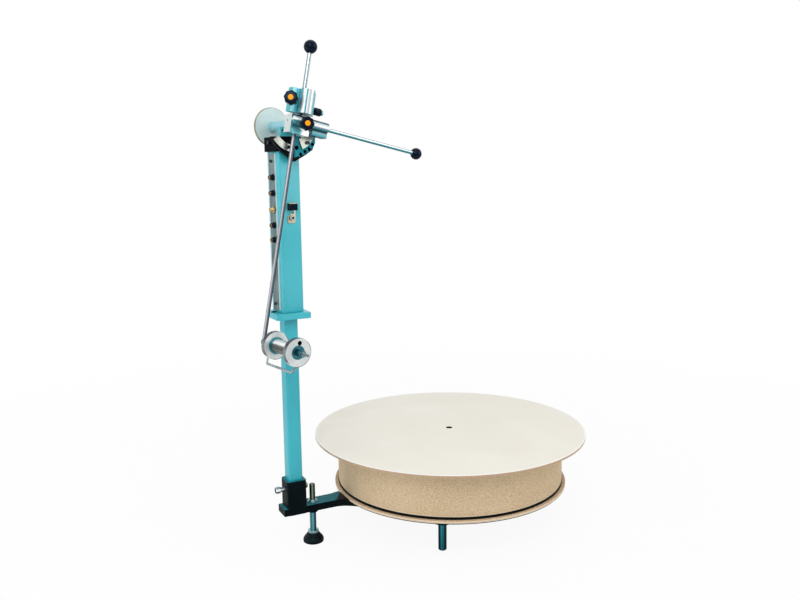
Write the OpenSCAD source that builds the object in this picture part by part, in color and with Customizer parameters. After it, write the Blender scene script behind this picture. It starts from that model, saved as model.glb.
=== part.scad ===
// Coil uncoiler: a turntable on a low three-legged frame, with a mast that carries a swinging
// dancer arm, a grooved guide roller and two ball-ended balance rods.
// Units are millimetres, +Z is up and the floor is z = 0. The arm of the frame runs along X.

/* [Turntable] */
// Diameter of the white laminated disc the coil lies on
top_disc_d = 700; // [500:10:900]
// Thickness of the white laminated disc
top_disc_t = 6; // [4:1:12]
// Height of the coil surface above the floor
top_z = 229.5; // [200:0.5:300]
// Outside diameter of the fibreboard drum under the disc
drum_d = 583; // [400:1:700]
// Wall of the fibreboard drum
drum_wall = 16; // [10:1:30]
// Height of the fibreboard drum
drum_h = 116.6; // [80:0.1:160]
// Diameter of the wooden disc at the foot of the drum
base_disc_d = 602; // [450:1:720]
// Diameter of the hole in the middle of the white disc
peg_hole_d = 16; // [8:1:30]

/* [Frame] */
// Distance from the drum axis to the mast axis
mast_reach = 432; // [380:1:520]
// Distance from the drum axis to each steel leg
leg_reach = 231.6; // [150:0.1:280]
// Angle from the far leg to each of the two legs beside the mast
leg_angle = 124.4; // [110:0.1:140]
// Diameter of a steel leg
leg_d = 20; // [12:1:40]
// Width of the frame's flat bars
bar_w = 45; // [30:1:70]
// Thickness of the frame's flat bars
bar_t = 13; // [8:1:20]
// Diameter of the rubber foot beside the mast
foot_d = 50; // [30:1:80]

/* [Mast] */
// Side of the square mast tube
post_w = 30; // [20:1:50]
// Side of the square housing above the flange plate
housing_w = 54; // [40:1:80]
// Distance from the dancer arm's pivot down to the top of the housing
housing_top = 57; // [45:1:199]
// Side of the square flange plate
plate_w = 84; // [60:1:120]
// Thickness of the flange plate
plate_t = 14; // [8:1:20]
// Height of the underside of the flange plate
plate_z = 563; // [400:1:800]
// Side of the square socket that holds the mast tube
socket_w = 48; // [40:1:70]
// Height of the top of the socket
socket_top = 169.5; // [140:0.5:220]

/* [Head] */
// Turn of the head on the mast, at rest
head_turn = 10; // [-20:1:30]
// Height of the dancer arm's pivot
pivot_z = 999; // [900:1:1200]
// Height of the pivot above the cap
pivot_rise = 25; // [22:1:60]
// Lean of the dancer arm from the vertical, at rest
dancer_lean = 11.6; // [-10:0.1:30]
// Length of the dancer arm from its pivot to the roller
dancer_len = 481.6; // [300:0.1:600]
// Diameter of the dancer rod and the balance rods
rod_d = 9; // [6:0.5:14]
// Diameter of a ball knob
ball_d = 30; // [20:1:50]
// Distance from the pivot to the ball of the upper rod
upper_ball = 169; // [120:1:300]
// Distance from the pivot to the ball of the side rod
side_ball = 328; // [200:1:450]
// Diameter of a lobed clamp knob
knob_d = 33; // [20:1:50]

/* [Roller] */
// Diameter of a roller flange
flange_d = 62; // [40:1:100]
// Thickness of a roller flange
flange_t = 10; // [5:1:20]
// Distance between the front faces of the two flanges
flange_pitch = 94; // [50:1:150]
// Diameter of the roller's core
core_d = 30; // [15:1:60]
// Diameter of the white disc behind the pivot
dial_d = 88; // [50:1:120]

/* [Hidden] */
$fn = 64;
e = 0.02;
fit = 0.05;
gap = 0.5;
star_z = 73;
star_top = star_z + bar_t;
plate_low = 93;
sheet_t = 1.5;
disc_low = plate_low + sheet_t;
disc_top = 101;
band_t = 5.3;
band_low = top_z - top_disc_t - drum_h - band_t;
core_low = top_z - top_disc_t - drum_h;
disc_z = top_z - top_disc_t;
spindle_d = 25;
collar_d = 45;
star_r = 75;
star_in = 60;
bar_end = 22;
sleeve_low_d = 140;
sleeve_top_d = 160;
sleeve_t = 8;
hub_bolt_r = 56;
bearing_d = 52;
bearing_t = 15;
sleeve_d = 76;
lower_bearing_z = 112;
upper_bearing_z = 186;
arm_low = star_top;
arm_top = arm_low + bar_t + 4;
edge_r = max(base_disc_d, drum_d) / 2;
arm_start = mast_reach + 33;
bolt_x = edge_r - 73;
pad_top = plate_low - 0.4;
pad_w = 2.1 * bar_w;
arm_end = bolt_x - 23;
stud_d = 14;
foot_x = -mast_reach + 46;
wall = 3;
housing_back = housing_w / 2;
swivel_d = 34;
cap_top = pivot_z - pivot_rise;
box_top = pivot_z - housing_top;
cap_h = housing_top - pivot_rise;
panel_low = plate_z + plate_t + 6;
panel_high = box_top - 4;
bracket_z = box_top - 148;
plug_y = -6;
cap_over = 5;
cap_front = -housing_w / 2 - cap_over;
cap_back = housing_back + cap_over;
stop_rim = [[55, 61], [45, 61.5], [29, 64], [15, 68], [7, 72], [2, 78], [-2, 80], [-6, 77.5], [-15, 74], [-24, 72.5], [-42, 73], [-56, 68.5]];
stop_holes = [[-50, 65, 8], [-38, 66, 8], [-27, 65, 8], [-16, 66, 8], [-10, 50, 10]];
block_w = 46;
block_top = 18;
block_low = -21.5;
lip_low = -23.5;
clamp_low = 22;
clamp_top = 74;
lug_z = 47;
thumb_y = -72;
thumb_z = 37;
boss_y = -90;
side_z = 3.5;
pivot_turn = -22;
pivot_knob_at = [1, -108.5, 0];
barrel_d = 27;
barrel_y = -77.5;
barrel_z = 5;
rod_x0 = -3.5;
plate_top = plate_z + plate_t;
socket_floor = 104;
clamp_z = socket_top - 22.5;
cross_y = -66;
block_front = -82;
block_back = -54;
shaft_d = 16;
boss_d = 32;
tube_y = -76;
axle_d = 10;
axle_boss = 41;
axle_out = 20;
pin_out = 39;
roller_back = cross_y - axle_boss;
roller_y1 = roller_back - flange_t;
roller_y2 = roller_y1 - flange_pitch;
wire_d = 5.5;
wire_back = cross_y - 18;
wire_front = roller_y2 + 17;
wire_drop = flange_d / 2 + 14;
wire_x = 1.5;
roller_lean = dancer_len * sin(dancer_lean) + flange_d / 2;
left_reach = mast_reach + roller_lean * cos(head_turn) + roller_back * sin(head_turn);
frame_x = (top_disc_d / 2 - left_reach) / 2;
lug_x = -24;
lug_y = -74;
lug_turn = -36;
plate_y = -37.2;
arc_y = plate_y - 10;
panel_w = 31;
panel_t = 4;
plug_drop = [57, 92, 164, 197];
brass_drop = 129;
plug_z = [for (d = plug_drop) box_top - d];
brass_z = box_top - brass_drop;
plug_d = 15;
plug_l = 8.5;
plug_t = 3.5;
plug_neck_d = 11;
tip_d = 9;
tip_l = 2.5;
panel_screw_z = [panel_high - 17, panel_low + 15];
knob_h = 17;

// Places children in the part frame, whose origin is under the middle of the whole machine.
module part_frame() {
  translate([-frame_x, 0, 0]) children();
}

// Places children at the mast axis, square to the frame's arm.
module at_mast() {
  part_frame() translate([-mast_reach, 0, 0]) children();
}

// Places children in the head's frame: X to the right of the dancer, Y along the pivot.
module at_head() {
  at_mast() rotate([0, 0, head_turn]) children();
}

// Places children in the leaning cross that swings about the pivot.
module at_cross() {
  at_head() translate([0, 0, pivot_z]) rotate([0, dancer_lean, 0]) children();
}

// A cylinder along Y from y0 to y1.
module rod_y(d, y0, y1) {
  translate([0, y0, 0]) rotate([-90, 0, 0]) cylinder(d = d, h = y1 - y0);
}

// A cylinder along X from x0 to x1.
module rod_x(d, x0, x1) {
  translate([x0, 0, 0]) rotate([0, 90, 0]) cylinder(d = d, h = x1 - x0);
}

// A box from the low corner to the high corner.
module box(low, high) {
  translate(low) cube([high[0] - low[0], high[1] - low[1], high[2] - low[2]]);
}

// An upright plate outline with round corners, as two boxes and four cylinders.
module round_box(wx, wy, h, r) {
  translate([-wx / 2 + r, -wy / 2, 0]) cube([wx - 2 * r, wy, h]);
  translate([-wx / 2, -wy / 2 + r, 0]) cube([wx, wy - 2 * r, h]);
  for (sx = [-1, 1])
    for (sy = [-1, 1])
      translate([sx * (wx / 2 - r), sy * (wy / 2 - r), 0]) cylinder(r = r, h = h);
}

// Repeats children at the three steel legs.
module each_leg() {
  for (a = [0, leg_angle, -leg_angle])
    rotate([0, 0, a]) translate([leg_reach, 0, 0]) children();
}

// A socket head cap screw with its head's underside at z = 0 and its shank below.
module cap_screw(d, l) {
  difference() {
    union() {
      cylinder(d = 1.6 * d, h = d);
      translate([0, 0, -l]) cylinder(d = d, h = l + e);
    }
    translate([0, 0, d * 0.45]) cylinder(d = 0.85 * d, h = d, $fn = 6);
  }
}

// Flat-bar star that carries the spindle, the legs and the mast's arm.
module base_frame() {
  color([0.05, 0.055, 0.06]) part_frame() difference() {
    union() {
      translate([0, 0, star_z - 3]) cylinder(r = star_r, h = plate_low - star_z + 3);
      for (a = [0, leg_angle, -leg_angle])
        rotate([0, 0, a]) translate([star_in, -bar_w / 2, star_z]) cube([leg_reach - star_in, bar_w, bar_t]);
      each_leg() translate([0, 0, star_z - 2]) cylinder(d = bar_w + 4, h = bar_t + 4);
      translate([-bolt_x - bar_end, -bar_w / 2, star_z]) cube([bolt_x + bar_end - star_in, bar_w, bar_t]);
    }
    each_leg() translate([0, 0, star_z - 5]) cylinder(d = leg_d + 2 * fit, h = bar_t + 10);
    translate([0, 0, star_z - 5]) cylinder(d = spindle_d + 2 * fit, h = plate_low - star_z + 10);
    for (y = [-12, 12])
      translate([-bolt_x, y, star_z - 1]) cylinder(d = 8 + 2 * fit, h = bar_t + 2);
  }
}

// Steel legs with a chamfered lower end, standing on the floor.
module legs() {
  color([0.72, 0.74, 0.75]) part_frame() each_leg() {
    translate([0, 0, 2]) cylinder(d = leg_d, h = star_top - 2);
    cylinder(d1 = leg_d - 4, d2 = leg_d, h = 2 + e);
  }
}

// Outline of the arm from the side: level outside the drum, dropping to a thin pad under it.
function arm_side() = concat(
  [[-arm_start, arm_low], [-arm_end, arm_low], [-arm_end, pad_top]],
  [for (t = [0:0.1:1]) [-edge_r - 3 - 9 * t, pad_top + (arm_top - pad_top) * (1 - cos(180 * t)) / 2]],
  [[-arm_start, arm_top]]);

// Half width of the arm along its length: it flares into the pad under the drum.
function arm_edge() = concat(
  [[-arm_start, bar_w / 2]],
  [for (t = [0:0.1:1]) [-edge_r - 36 + 50 * t, bar_w / 2 + (pad_w - bar_w) / 2 * t * t]],
  [[-arm_end, pad_w / 2]]);

// Cast arm with the square socket for the mast tube.
module mast_arm() {
  color([0.045, 0.05, 0.055]) part_frame() difference() {
    union() {
      intersection() {
        translate([0, pad_w, 0]) rotate([90, 0, 0]) linear_extrude(2 * pad_w) polygon(arm_side());
        translate([0, 0, arm_low - 1]) linear_extrude(arm_top - arm_low + 2)
          polygon(concat(arm_edge(), [for (i = [len(arm_edge()) - 1:-1:0]) [arm_edge()[i][0], -arm_edge()[i][1]]]));
      }
      translate([-mast_reach, 0, arm_low]) round_box(socket_w, socket_w, socket_top - arm_low, 6);
      translate([foot_x, 0, arm_low - 8]) cylinder(d = 26, h = 12);
    }
    translate([-mast_reach, 0, socket_floor])
      translate([-post_w / 2 - 0.3, -post_w / 2 - 0.3, 0]) cube([post_w + 0.6, post_w + 0.6, 100]);
    translate([-mast_reach, 0, clamp_z]) rod_x(8 + 2 * fit, -60, 60);
    translate([foot_x, 0, 0]) cylinder(d = stud_d + 2 * fit, h = 150);
    for (y = [-12, 12])
      translate([-bolt_x, y, arm_low - 1]) cylinder(d = 8 + 2 * fit, h = 20);
  }
}

// Screws from below that hold the arm's pad to the star.
module arm_bolts() {
  color([0.25, 0.26, 0.27]) part_frame()
    for (y = [-12, 12])
      translate([-bolt_x, y, star_z]) rotate([180, 0, 0]) cap_screw(8, bar_t + 6);
}

// Clamp screws that grip the mast tube in its socket, the left one with a long hollow head.
module socket_screws() {
  color([0.75, 0.75, 0.74]) at_mast() translate([0, 0, clamp_z])
    for (s = [[-1, 23], [1, 9]])
      scale([s[0], 1, 1]) difference() {
        union() {
          rod_x(8, post_w / 2 + 0.6, socket_w / 2 + e);
          rod_x(17, socket_w / 2, socket_w / 2 + 4);
          rod_x(14, socket_w / 2 + 4 - e, socket_w / 2 + s[1]);
        }
        rod_x(7.5, socket_w / 2 + s[1] - 4, socket_w / 2 + s[1] + 1);
      }
}

// Thin black sheet under the wooden disc.
module base_sheet() {
  color([0.03, 0.03, 0.03]) part_frame() difference() {
    translate([0, 0, plate_low]) cylinder(d = base_disc_d - 4, h = sheet_t, $fn = 128);
    translate([0, 0, plate_low - 1]) cylinder(d = 60, h = sheet_t + 2);
  }
}

// Wooden disc that stays still under the drum.
module base_disc() {
  color([0.80, 0.66, 0.48]) part_frame() difference() {
    translate([0, 0, disc_low]) cylinder(d = base_disc_d, h = disc_top - disc_low, $fn = 128);
    translate([0, 0, disc_low - 1]) cylinder(d = 100, h = 20);
  }
}

// Fixed upright spindle that the turntable runs on.
module spindle() {
  color([0.7, 0.71, 0.72]) part_frame() {
    translate([0, 0, star_z]) cylinder(d = spindle_d, h = upper_bearing_z + bearing_t + 4 - star_z);
    translate([0, 0, plate_low]) cylinder(d = collar_d, h = lower_bearing_z - plate_low);
  }
}

// Two ball bearings, each drawn as one ring between spindle and sleeve.
module bearings() {
  color([0.62, 0.63, 0.65]) part_frame()
    for (z = [lower_bearing_z, upper_bearing_z])
      translate([0, 0, z]) difference() {
        cylinder(d = bearing_d, h = bearing_t);
        translate([0, 0, -1]) cylinder(d = spindle_d + 2 * fit, h = bearing_t + 2);
      }
}

// Turning sleeve with a flange under the disc and a flange over the rotor plate.
module hub_sleeve() {
  color([0.62, 0.64, 0.66]) part_frame() difference() {
    union() {
      translate([0, 0, core_low]) cylinder(d = sleeve_d, h = disc_z - core_low);
      translate([0, 0, core_low]) cylinder(d = sleeve_low_d, h = sleeve_t);
      translate([0, 0, disc_z - sleeve_t]) cylinder(d = sleeve_top_d, h = sleeve_t);
    }
    translate([0, 0, core_low - 1]) cylinder(d = bearing_d + 2 * fit, h = upper_bearing_z + bearing_t + 6 - core_low);
    translate([0, 0, disc_z - 30]) cylinder(d = peg_hole_d + 6, h = 40);
    for (a = [45:90:315])
      rotate([0, 0, a]) translate([hub_bolt_r, 0, core_low - 1]) cylinder(d = 6 + 2 * fit, h = 20);
  }
}

// Black rotor plate that shows as a dark line under the drum.
module rotor_plate() {
  color([0.03, 0.03, 0.03]) part_frame() difference() {
    translate([0, 0, band_low]) cylinder(d = drum_d - 10, h = band_t, $fn = 128);
    translate([0, 0, band_low - 1]) cylinder(d = bearing_d + 6, h = band_t + 2);
    for (a = [45:90:315])
      rotate([0, 0, a]) translate([hub_bolt_r, 0, band_low - 1]) cylinder(d = 6 + 2 * fit, h = 20);
  }
}

// Screws that hold the rotor plate to the sleeve.
module hub_bolts() {
  color([0.25, 0.26, 0.27]) part_frame()
    for (a = [45:90:315])
      rotate([0, 0, a]) translate([hub_bolt_r, 0, core_low + 8]) cap_screw(6, 8 + band_t);
}

// Hollow fibreboard drum.
module drum_core() {
  color([0.62, 0.50, 0.36]) part_frame() difference() {
    translate([0, 0, core_low]) cylinder(d = drum_d, h = drum_h, $fn = 128);
    translate([0, 0, core_low - 1]) cylinder(d = drum_d - 2 * drum_wall, h = drum_h + 2, $fn = 128);
  }
}

// White laminated disc that the coil lies on, with its centre hole.
module top_disc() {
  color([0.93, 0.92, 0.88]) part_frame() difference() {
    translate([0, 0, disc_z]) cylinder(d = top_disc_d, h = top_disc_t, $fn = 160);
    translate([0, 0, disc_z - 1]) cylinder(d = peg_hole_d, h = top_disc_t + 2);
  }
}

// Levelling stud with its collar above the foot and a thinner upper end.
module level_stud() {
  color([0.6, 0.62, 0.63]) part_frame() translate([foot_x, 0, 0]) {
    translate([0, 0, 28]) cylinder(d = stud_d, h = arm_top + 6 - 28);
    translate([0, 0, arm_top + 6 - e]) cylinder(d = stud_d - 2, h = 36);
    translate([0, 0, 24]) cylinder(d = 26, h = 7);
  }
}

// Round lock nut and washer on top of the arm.
module level_nut() {
  color([0.55, 0.56, 0.57]) part_frame() translate([foot_x, 0, 0]) difference() {
    union() {
      translate([0, 0, arm_top]) cylinder(d = 24, h = 2);
      translate([0, 0, arm_top + 2 - e]) cylinder(d = 20, h = 3.5);
    }
    cylinder(d = stud_d + 2 * fit, h = 200);
  }
}

// Bell-shaped rubber foot.
module rubber_foot() {
  color([0.03, 0.03, 0.032]) part_frame() translate([foot_x, 0, 0]) {
    cylinder(d = foot_d, h = 13);
    translate([0, 0, 13 - e]) cylinder(d1 = foot_d - 2, d2 = foot_d - 18, h = 11 + e);
  }
}

// Square mast tube between the socket and the flange plate.
module mast_post() {
  color([0.28, 0.70, 0.75]) at_mast() difference() {
    translate([0, 0, socket_floor + gap]) round_box(post_w, post_w, plate_z - socket_floor - gap, 3);
    translate([-post_w / 2 + wall, -post_w / 2 + wall, 60])
      cube([post_w - 2 * wall, post_w - 2 * wall, 600]);
  }
}

// Flange plate on the mast tube, with the round spigot that the housing turns on.
module flange_plate() {
  color([0.28, 0.70, 0.75]) at_mast() difference() {
    union() {
      translate([0, 0, plate_z]) round_box(plate_w, plate_w, plate_t, 6);
      translate([0, 0, plate_top - e]) cylinder(d = swivel_d, h = 24);
    }
    translate([-35, 2, plate_z + 4]) cylinder(d = 9 + 2 * fit, h = plate_t + 2);
    translate([0, 0, plate_top + 2]) cylinder(d = swivel_d - 8, h = 40);
  }
}

// Bush in the foot of the housing, running on the plate's spigot.
module swivel_bush() {
  color([0.3, 0.31, 0.32]) at_head() difference() {
    box([-housing_w / 2 + wall, -housing_w / 2 + wall, plate_top + gap], [housing_w / 2 - wall, housing_back - wall, plate_top + 12]);
    cylinder(d = swivel_d + 2 * fit, h = 2000);
  }
}

// Square housing that turns on the flange plate.
module mast_housing() {
  color([0.28, 0.70, 0.75]) at_head() difference() {
    translate([0, (housing_back - housing_w / 2) / 2, plate_top + gap])
      round_box(housing_w, housing_back + housing_w / 2, box_top - plate_top - gap, 3);
    box([-housing_w / 2 + wall, -housing_w / 2 + wall, plate_top - 1], [housing_w / 2 - wall, housing_back - wall, box_top + 1]);
    for (z = concat(plug_z, [brass_z]))
      translate([0, plug_y, z]) rod_x(9, -housing_w / 2 - 1, -housing_w / 2 + wall + 1);
    for (z = panel_screw_z)
      translate([0, 0, z]) rod_x(4 + 2 * fit, -housing_w / 2 - 1, -housing_w / 2 + wall + 1);
    translate([0.5, 0, bracket_z]) rod_y(5 + 2 * fit, -housing_w / 2 - 1, -housing_w / 2 + wall + 1);
  }
}

// Black cable grommet in the flange plate.
module grommet() {
  color([0.02, 0.02, 0.02]) at_mast() translate([-35, 2, 0]) {
    translate([0, 0, plate_z + 4]) cylinder(d = 9, h = plate_t - 4 + e);
    translate([0, 0, plate_top]) cylinder(d = 11, h = 2);
  }
}

// Light metal connector panel on the side of the housing.
module panel() {
  color([0.72, 0.74, 0.74]) at_head() difference() {
    box([-housing_w / 2 - panel_t, -panel_w / 2 - 1.5, panel_low], [-housing_w / 2, panel_w / 2 - 1.5, panel_high]);
    for (z = concat(plug_z, [brass_z]))
      translate([0, plug_y, z]) rod_x(9, -housing_w / 2 - panel_t - 1, -housing_w / 2 + 1);
    for (z = panel_screw_z)
      translate([0, 0, z]) rod_x(4 + 2 * fit, -housing_w / 2 - panel_t - 1, -housing_w / 2 + 1);
  }
}

// Screws at the two ends of the panel.
module panel_screws() {
  color([0.6, 0.6, 0.6]) at_head()
    for (z = panel_screw_z)
      translate([-housing_w / 2 - panel_t, 0, z]) rotate([0, -90, 0]) cap_screw(4, 6);
}

// Round black panel sockets.
module panel_plugs() {
  color([0.03, 0.03, 0.03]) at_head()
    for (z = plug_z)
      translate([-housing_w / 2 - panel_t, plug_y, z]) {
        rod_x(plug_d, -plug_t, 0);
        rod_x(plug_neck_d, -plug_l, -plug_t + e);
        rod_x(9 - 2 * fit, -e, 8);
      }
}

// Brass tips of the black panel sockets.
module panel_tips() {
  color([0.65, 0.45, 0.2]) at_head()
    for (z = plug_z)
      translate([-housing_w / 2 - panel_t, plug_y, z]) difference() {
        rod_x(tip_d, -plug_l - tip_l, -plug_l);
        rod_x(tip_d / 2, -plug_l - tip_l - 1, -plug_l - 0.5);
      }
}

// The one panel socket that is all brass.
module brass_socket() {
  color([0.75, 0.55, 0.25]) at_head() translate([-housing_w / 2 - panel_t, plug_y, brass_z]) difference() {
    union() {
      rod_x(14, -3, 0);
      rod_x(9, -11, -3 + e);
      rod_x(9 - 2 * fit, -e, 8);
    }
    rod_x(5, -12, -6);
  }
}

// Small bent bracket on the front of the housing.
module sensor_bracket() {
  color([0.72, 0.70, 0.62]) at_head() difference() {
    union() {
      translate([0, -housing_w / 2, bracket_z]) rotate([90, 0, 0]) linear_extrude(2)
        polygon([[-10, -9], [-7, -12], [8, -12], [11, -9], [11, 34], [-10, 34], [-10, 17], [6.5, 17], [6.5, 9], [-2, 9], [-10, 1]]);
      box([-10, -housing_w / 2 - 14, bracket_z + 32], [11, -housing_w / 2, bracket_z + 34]);
    }
    translate([0.5, 0, bracket_z]) rod_y(5 + 2 * fit, -housing_w / 2 - 5, -housing_w / 2 + 1);
  }
}

// Black sensor block under the bracket's lip.
module sensor_block() {
  color([0.02, 0.02, 0.02]) at_head()
    box([-10, -housing_w / 2 - 13, bracket_z + 17], [11, -housing_w / 2 - 2, bracket_z + 32]);
}

// Washer and screw that hold the bracket.
module bracket_screw() {
  color([0.7, 0.7, 0.69]) at_head() translate([0.5, -housing_w / 2 - 2, bracket_z]) {
    rod_y(12, -2, 0);
    translate([0, -2, 0]) rotate([90, 0, 0]) cap_screw(5, 7);
  }
}

// Black cap on the housing, with its front pad.
module head_cap() {
  color([0.035, 0.038, 0.042]) at_head() difference() {
    union() {
      translate([0, (cap_front + cap_back) / 2, box_top]) round_box(housing_w + 2 * cap_over, cap_back - cap_front, cap_h, 6);
      box([-housing_w / 2 + wall, -housing_w / 2 + wall, box_top - 12], [housing_w / 2 - wall, housing_back - wall, box_top + 1]);
      box([-30, plate_y, box_top + 4], [30, cap_front + 2, cap_top]);
    }
    translate([0, 3, cap_top - 12]) rod_x(5 + 2 * fit, cap_front - 3, cap_front + 10);
    for (a = [18, -41])
      translate([0, 0, pivot_z]) rotate([0, a, 0]) translate([0, 0, -51]) rod_y(5 + 2 * fit, plate_y - 1, plate_y + 4);
  }
}

// Stop plate below the pivot: its outline as [angle, radius], a row of blind holes and the two screw holes.
module stop_plate() {
  color([0.1, 0.3, 0.33]) at_head() translate([0, 0, pivot_z]) difference() {
    translate([0, plate_y, 0]) rotate([90, 0, 0]) linear_extrude(plate_y - arc_y)
      polygon(concat([[-52, cap_top - pivot_z - 0.3]],
        [for (q = stop_rim) q[1] * [-sin(q[0]), -cos(q[0])]],
        [[57, cap_top - pivot_z - 0.3]]));
    for (q = stop_holes)
      rotate([0, q[0], 0]) translate([0, 0, -q[1]]) rod_y(q[2], arc_y - 1, arc_y + 6);
    for (a = [18, -41])
      rotate([0, a, 0]) translate([0, 0, -51]) rod_y(5 + 2 * fit, arc_y - 1, plate_y + 1);
  }
}

// Screw in the left side of the cap.
module cap_screws() {
  color([0.2, 0.28, 0.34]) at_head()
    translate([-housing_w / 2 - cap_over, 3, cap_top - 12]) rotate([0, -90, 0]) cap_screw(5, 8);
}

// Bearing bracket on the cap, bored for the pivot shaft, with a front wall and its ear.
module pivot_bearing() {
  color([0.30, 0.72, 0.77]) at_head() difference() {
    union() {
      box([-9, plate_y - 1, cap_top], [9, 12, cap_top + 10]);
      box([-9, -30, cap_top], [9, 12, pivot_z]);
      box([-30, arc_y + 1, cap_top], [22, plate_y, cap_top + 10]);
      box([-30, arc_y + 1, cap_top], [-15, plate_y, pivot_z - 5]);
      translate([0, 0, pivot_z]) rod_y(23, arc_y + 1, 34);
    }
    translate([0, 0, pivot_z]) rod_y(shaft_d + 2 * fit, -60, 60);
    translate([-24.5, 0, pivot_z - 13]) rod_y(5, arc_y - 1, plate_y + 1);
  }
}

// Two light steel arc plates on the front plate, either side of the dancer rod.
module arc_stops() {
  color([0.66, 0.67, 0.64]) at_head() translate([0, 0, pivot_z])
    for (s = [[8, 58, 43.5, 15.5, 18], [-61, -22, 33, 24, -41]])
      difference() {
        translate([0, arc_y, 0]) rotate([90, 0, 0]) rotate([0, 0, -90 - s[1]])
          rotate_extrude(angle = s[1] - s[0]) translate([s[2], 0]) square([s[3], 4.5]);
        rotate([0, s[4], 0]) translate([0, 0, -51]) rod_y(5 + 2 * fit, -60, -40);
      }
}

// Screws that hold the arc plates.
module arc_screws() {
  color([0.35, 0.34, 0.33]) at_head() translate([0, 0, pivot_z])
    for (a = [18, -41])
      rotate([0, a, 0]) translate([0, arc_y - 4.5, -51]) rotate([90, 0, 0]) cap_screw(5, 12);
}

// Steel shaft that the cross turns on.
module pivot_shaft() {
  color([0.72, 0.73, 0.74]) at_cross() rod_y(shaft_d, -78, 62);
}

// Block at the middle of the cross, with a round barrel and a lower lip on its front.
module hub_block() {
  color([0.75, 0.78, 0.79]) at_cross() difference() {
    union() {
      box([-block_w / 2 - 1, block_front, block_low], [block_w / 2 - 1, block_back, block_top]);
      translate([0, barrel_y, barrel_z]) rod_x(barrel_d, -block_w / 2 + 1, block_w / 2 - 3);
      box([-block_w / 2 + 2, block_front - 6, lip_low], [block_w / 2 - 3, block_front + 1, lip_low + 11]);
    }
    rod_y(shaft_d + 2 * fit, -78, 0);
    translate([rod_x0, cross_y, 0]) translate([0, 0, -40]) cylinder(d = rod_d + 2 * fit, h = 28);
    translate([0, cross_y, 4]) rod_x(4 + 2 * fit, -30, -12);
    translate([0, tube_y, side_z]) rod_x(12 + 2 * fit, 17, 40);
    translate([0, tube_y + 4, 10]) cylinder(d = 12 + 2 * fit, h = 20);
    translate(pivot_knob_at) rotate([0, 0, pivot_turn]) rod_y(6 + 2 * fit, -10, 27);
  }
}

// Grub screw in the side of the block.
module block_screw() {
  color([0.5, 0.52, 0.52]) at_cross() translate([-22, cross_y, 4]) rotate([0, -90, 0]) difference() {
    translate([0, 0, -8]) cylinder(d = 4, h = 8);
    translate([0, 0, -3]) cylinder(d = 2.2, h = 4, $fn = 6);
  }
}

// Polished upper rod clamp: a plate with a round boss on its front.
module upper_clamp() {
  color([0.74, 0.78, 0.79]) at_cross() difference() {
    union() {
      translate([2, boss_y, clamp_low]) cylinder(d = boss_d, h = clamp_top - clamp_low);
      translate([0, tube_y + 4, 11]) cylinder(d = 12, h = clamp_low - 10);
      box([-30, tube_y - 6, clamp_low], [27, tube_y + 14, clamp_top]);
    }
    translate([0, tube_y, 15]) cylinder(d = rod_d + 2 * fit, h = 90);
    translate([lug_x, lug_y, lug_z]) rotate([0, 0, lug_turn]) rod_y(6 + 2 * fit, -30, 1);
    translate([0, thumb_y, thumb_z]) rod_x(6 + 2 * fit, 8, 40);
  }
}

// Polished side rod clamp with its lower wing.
module side_clamp() {
  color([0.74, 0.78, 0.79]) at_cross() difference() {
    union() {
      translate([0, tube_y - 5, side_z + 2]) rod_x(22.5, 23.5, 68);
      translate([0, tube_y, side_z]) rod_x(12, 18, 25);
      box([28, tube_y - 12, -18], [66, tube_y + 10, side_z]);
    }
    translate([0, tube_y, side_z]) rod_x(rod_d + 2 * fit, 19, 90);
  }
}

// Dancer rod, from the block down to the roller's axle.
module dancer_rod() {
  color([0.72, 0.73, 0.75]) at_cross() translate([rod_x0, cross_y, -dancer_len + 4])
    cylinder(d = rod_d, h = dancer_len - 4 - 12);
}

// Roller axle with the boss that holds it to the dancer rod and a thin front end.
module axle() {
  color([0.66, 0.68, 0.70]) at_cross() translate([0, 0, -dancer_len]) difference() {
    union() {
      rod_y(axle_d, roller_y2 - axle_out, cross_y);
      rod_y(6.5, roller_y2 - pin_out, roller_y2 - axle_out + e);
      rod_y(18, roller_back + gap + 1, cross_y + 3);
    }
    translate([rod_x0, cross_y, 4]) cylinder(d = rod_d + 2 * fit, h = 40);
    translate([wire_x, wire_back, -30]) cylinder(d = wire_d + 2 * fit, h = 25);
  }
}

// Dark collar on the front end of the axle.
module axle_nut() {
  color([0.3, 0.35, 0.37]) at_cross() translate([0, 0, -dancer_len]) difference() {
    rod_y(15, roller_y2 - axle_out + 1, roller_y2 + 2.5);
    rod_y(axle_d + 2 * fit, roller_y2 - axle_out - 10, roller_y2 + axle_out);
  }
}

// Bent guard wire under the roller.
module guard_wire() {
  color([0.68, 0.70, 0.72]) at_cross() translate([wire_x, 0, -dancer_len]) {
    translate([0, wire_back, -wire_drop]) cylinder(d = wire_d, h = wire_drop - 5);
    translate([0, wire_back, -wire_drop]) sphere(d = wire_d + 0.5);
    translate([0, 0, -wire_drop]) rod_y(wire_d, wire_front, wire_back);
    translate([0, wire_front, -wire_drop]) sphere(d = wire_d + 0.5);
    translate([0, wire_front, -wire_drop]) rotate([0, 37, 0]) cylinder(d = wire_d, h = 16);
  }
}

// Two aluminium flanges of the guide roller.
module roller_flanges() {
  color([0.76, 0.77, 0.76]) at_cross() translate([0, 0, -dancer_len]) {
    difference() {
      rod_y(flange_d, roller_y1, roller_back);
      rod_y(core_d + 2 * fit, roller_y1 - 1, roller_back + 1);
    }
    difference() {
      rod_y(flange_d, roller_y2, roller_y2 + flange_t);
      rod_y(core_d + 2 * fit, roller_y2 - 1, roller_y2 + flange_t + 1);
      translate([0, 0, core_d / 2 + 5]) rod_y(8, roller_y2 - 1, roller_y2 + flange_t + 1);
    }
  }
}

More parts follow.
